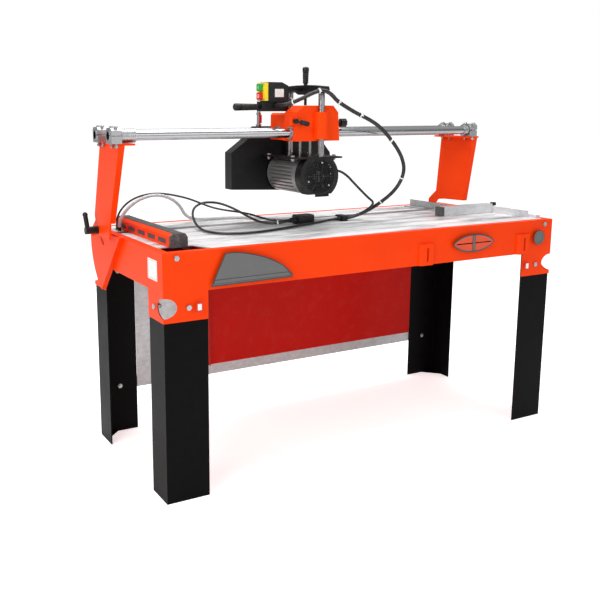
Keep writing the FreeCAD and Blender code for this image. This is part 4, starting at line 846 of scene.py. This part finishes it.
# the sleeve from the switch, over the handle, to the tie on the yoke
head_route = [(-0.205, -0.022, 1.232), (-0.205, -0.058, 1.232), (-0.198, -0.098, 1.238),
              (-0.172, -0.135, 1.255), (-0.128, -0.154, 1.279), (-0.092, -0.158, 1.283),
              (-0.062, -0.155, 1.268), (-0.040, -0.152, 1.248), (-0.012, -0.150, 1.234)]
head_line = centreline(head_route)
lead_radius = 0.007
lead_head, head_path = sleeve("lead_on_head", head_line, lead_radius, sleeve_black, 0.0036, 0.0007)
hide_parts("lead_head")
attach(lead_head, "head")
for number, share in enumerate((0.3, 0.62, 0.93)):
    tie = tie_at("head_tie_" + str(number + 1), head_path, share, lead_radius + tie_slack,
                 1.2 + number)
    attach(tie, "head")

# the hanging loop, in three runs cut at two heights
loop_route = [(-0.01172, -0.14998, 1.23386), (0.0328, -0.1468, 1.2116), (0.092, -0.150, 1.188),
              (0.142, -0.150, 1.163), (0.186, -0.150, 1.127), (0.226, -0.149, 1.086),
              (0.256, -0.148, 1.046), (0.272, -0.146, 1.000), (0.264, -0.134, 0.952),
              (0.252, -0.103, 0.910), (0.232, -0.060, 0.872), (0.214, -0.026, 0.846),
              (0.196, 0.004, 0.826), (0.165, 0.026, 0.811), (0.125, 0.026, 0.811)]
motor_route = [(0.011, -0.041, 1.000), (0.045, -0.041, 1.000), (0.078, -0.050, 0.982),
               (0.108, -0.062, 0.948), (0.138, -0.071, 0.917), (0.165, -0.074, 0.893),
               (0.193, -0.068, 0.876), (0.200, -0.046, 0.857), (0.190, -0.022, 0.838),
               (0.172, 0.002, 0.820), (0.150, 0.009, 0.811), (0.125, 0.009, 0.811)]


def hang_between(label, route, heights, radius, skin, node, pitch, depth, ties):
    """A hanging cable in three runs, cut where it falls past the given heights, each run with its
    cable ties."""
    line = centreline(route)
    for number, run in enumerate(split_by_height(line, heights)):
        piece, path = sleeve(label + "_" + str(number + 1), run, radius, skin, pitch, depth)
        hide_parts(node)
        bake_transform(piece)
        for share in ties[number]:
            tie = tie_at(label + "_tie_" + str(number + 1) + "_" + str(int(share * 100)), path,
                         share, radius + tie_slack, 2.0 + share)
            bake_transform(tie)


hang_between("lead_loop", loop_route, [1.10, 0.86], lead_radius, sleeve_black, "lead_loop",
             0.0036, 0.0007, [(0.32, 0.95), (0.5, 0.92), (0.55,)])
hang_between("motor_lead", motor_route, [0.94, 0.85], 0.0045, lead_black, "motor_cable",
             0.0, 0.0, [(), (), ()])

# the lead, the pump cable and the water hose, loose on the planks
table_route = [(0.100, 0.016, 0.809), (0.062, 0.016, 0.809), (0.000, -0.006, 0.806),
               (-0.072, -0.028, 0.806), (-0.150, -0.060, 0.806), (-0.226, -0.090, 0.806),
               (-0.300, -0.112, 0.806), (-0.368, -0.122, 0.806), (-0.428, -0.110, 0.806),
               (-0.468, -0.072, 0.806), (-0.482, -0.015, 0.806), (-0.474, 0.055, 0.808),
               (-0.460, 0.125, 0.822), (-0.438, 0.190, 0.840), (-0.407, 0.240, 0.859),
               (-0.358, 0.265, 0.872), (-0.304, 0.248, 0.870), (-0.262, 0.203, 0.851),
               (-0.232, 0.150, 0.826), (-0.214, 0.097, 0.809), (-0.190, 0.052, 0.806),
               (-0.160, 0.028, 0.808), (-0.134, 0.017, 0.814), (-0.106, 0.017, 0.814)]
pump_route = [(-0.723, 0.208, 0.812), (-0.723, 0.208, 0.836), (-0.712, 0.208, 0.862),
              (-0.690, 0.208, 0.887), (-0.658, 0.207, 0.907), (-0.617, 0.206, 0.919),
              (-0.572, 0.205, 0.922), (-0.528, 0.204, 0.917), (-0.484, 0.204, 0.907),
              (-0.442, 0.204, 0.895), (-0.402, 0.196, 0.878), (-0.366, 0.170, 0.862),
              (-0.332, 0.138, 0.854), (-0.290, 0.112, 0.848), (-0.242, 0.102, 0.838),
              (-0.198, 0.100, 0.822), (-0.168, 0.084, 0.814), (-0.150, 0.056, 0.812),
              (-0.130, 0.040, 0.814), (-0.106, 0.040, 0.814)]
hose_route = [(-0.723, 0.180, 0.812), (-0.723, 0.180, 0.830), (-0.711, 0.180, 0.853),
              (-0.692, 0.180, 0.876), (-0.664, 0.180, 0.897), (-0.630, 0.180, 0.912),
              (-0.590, 0.181, 0.919), (-0.548, 0.184, 0.913), (-0.507, 0.192, 0.894),
              (-0.474, 0.212, 0.865), (-0.449, 0.238, 0.835), (-0.414, 0.260, 0.814),
              (-0.365, 0.270, 0.807), (-0.300, 0.273, 0.807), (-0.240, 0.264, 0.807),
              (-0.185, 0.238, 0.807), (-0.136, 0.196, 0.807), (-0.092, 0.148, 0.807),
              (-0.045, 0.102, 0.807), (0.000, 0.068, 0.807), (0.040, 0.047, 0.808),
              (0.070, 0.038, 0.810), (0.100, 0.038, 0.810)]


def lay_on_table(name, node, route, radius, skin):
    """A round cord on its spline, which rides on the frame."""
    piece = lay_spline(name, route)
    piece.data.bevel_depth = radius
    piece.data.bevel_resolution = 4
    piece.data.use_fill_caps = True
    piece.data.materials.append(skin)
    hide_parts(node)
    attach(piece, "root")
    return piece


table_lead_radius = 0.0045
lay_on_table("table_lead", "lead_table", table_route, table_lead_radius, lead_black)
lay_on_table("pump_lead", "pump_cable", pump_route, 0.0035, lead_black)
lay_on_table("supply_hose", "water_hose", hose_route, 0.006, hose_clear)
table_line = centreline(table_route)
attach(tie_at("table_tie", table_line, 0.93, table_lead_radius + tie_slack, 1.5), "root")

# ---------------------------------------------------------------- strain reliefs
# Tapered rubber boots where each cord leaves a housing, ringed so that they bend with it.


def boot(name, at, axis, cord_radius, length, body):
    """A ringed taper from a housing onto its cord."""
    profile = [(0.0, 0.0), (cord_radius + 0.0032, 0.0), (cord_radius + 0.0032, 0.0022)]
    rings = int(length / 0.0045) - 1
    for ring in range(rings):
        along = 0.004 + ring * 0.0045
        wall = cord_radius + 0.0028 - 0.0021 * along / length
        profile += [(wall, along), (wall, along + 0.0022), (wall - 0.0008, along + 0.0026),
                    (wall - 0.0008, along + 0.0040)]
    profile += [(cord_radius + 0.0005, length), (0.0, length)]
    return turned(name, profile, at, axis, body, grip_rubber, steps=24)


boot("switch_boot", head_route[0], (0, -1, 0), 0.007, 0.024, "head")
boot("motor_boot", motor_route[0], (1, 0, 0), 0.0045, 0.022, "head")
boot("connector_boot_lead", table_route[-1], (-1, 0, 0), 0.0045, 0.024, "root")
boot("connector_boot_pump", pump_route[-1], (-1, 0, 0), 0.0035, 0.020, "root")
boot("cuff_boot_lead", table_route[0], (-1, 0, 0), 0.0045, 0.024, "root")
boot("cuff_boot_loop", loop_route[-1], (1, 0, 0), 0.007, 0.026, "root")

# ---------------------------------------------------------------- floor, light and camera
# A plain pale floor, broad soft lamps and a pale surround.
bpy.ops.object.select_all(action="DESELECT")
bpy.ops.mesh.primitive_plane_add(size=60.0, location=(0, 0, 0))
floor = bpy.context.object
floor.name = "floor"
pale_floor = bpy.data.materials.new("pale floor")
pale_floor.use_nodes = True
floor_tree = pale_floor.node_tree
floor_shader = floor_tree.nodes["Principled BSDF"]
floor_shader.inputs["Base Color"].default_value = (0.86, 0.86, 0.86, 1)
floor_shader.inputs["Roughness"].default_value = 0.75
floor_shader.inputs["Emission Color"].default_value = (1, 1, 1, 1)
watched = place(floor_tree, "ShaderNodeLightPath").outputs["Is Camera Ray"]
floor_tree.links.new(ranged(floor_tree, watched, 0.0, 1.0, 0.25, 0.62),
                     floor_shader.inputs["Emission Strength"])
floor.data.materials.append(pale_floor)


def soft_lamp(name, location, target, size, power, colour):
    """A broad rectangular lamp aimed at a point."""
    light = bpy.data.lights.new(name, "AREA")
    light.shape = "RECTANGLE"
    light.size = size[0]
    light.size_y = size[1]
    light.energy = power
    light.color = colour
    lamp = bpy.data.objects.new(name, light)
    bpy.context.scene.collection.objects.link(lamp)
    lamp.location = location
    aim = Vector(target) - Vector(location)
    lamp.rotation_euler = aim.to_track_quat("-Z", "Y").to_euler()


soft_lamp("left_window", (-3.4, -1.6, 2.6), (0, 0, 0.8), (2.6, 2.2), 92.0, (1.0, 0.985, 0.96))
soft_lamp("front_fill", (1.2, -4.2, 2.4), (0, 0, 0.7), (3.4, 2.2), 34.0, (1.0, 1.0, 1.0))
soft_lamp("top_sheet", (0.1, 0.4, 3.6), (0, 0, 0.7), (3.0, 2.4), 108.0, (1.0, 1.0, 1.0))
surround = bpy.data.worlds.new("surround")
surround.use_nodes = True
backdrop = surround.node_tree
bright = backdrop.nodes["Background"]
bright.inputs["Color"].default_value = (1.0, 1.0, 1.0, 1)
bright.inputs["Strength"].default_value = 1.0
around = place(backdrop, "ShaderNodeTexCoord").outputs["Generated"]
rise = place(backdrop, "ShaderNodeSeparateXYZ", {"Vector": around})
studio = ranged(backdrop, rise.outputs["Z"], -0.1, 0.9, 0.06, 0.7)
dim = place(backdrop, "ShaderNodeBackground", {"Color": (1, 1, 1, 1), "Strength": studio})
seen = place(backdrop, "ShaderNodeLightPath")
choose = place(backdrop, "ShaderNodeMixShader", {0: seen.outputs["Is Camera Ray"],
                                                 1: dim.outputs[0], 2: bright.outputs[0]})
backdrop.links.new(choose.outputs[0], backdrop.nodes["World Output"].inputs["Surface"])
bpy.context.scene.world = surround
bpy.context.scene.view_settings.view_transform = "Standard"

lens = bpy.data.cameras.new("camera")
lens.lens = 48.89
lens.sensor_width = 36.0
lens.shift_x = 0.083
lens.shift_y = -0.065
camera = bpy.data.objects.new("camera", lens)
bpy.context.scene.collection.objects.link(camera)
camera.location = (-1.6724, -2.5302, 1.2221)
look_down = 0.1851
turned_right = -0.4975
camera.rotation_euler = (math.pi / 2 - look_down, 0.0, turned_right)
bpy.context.scene.camera = camera
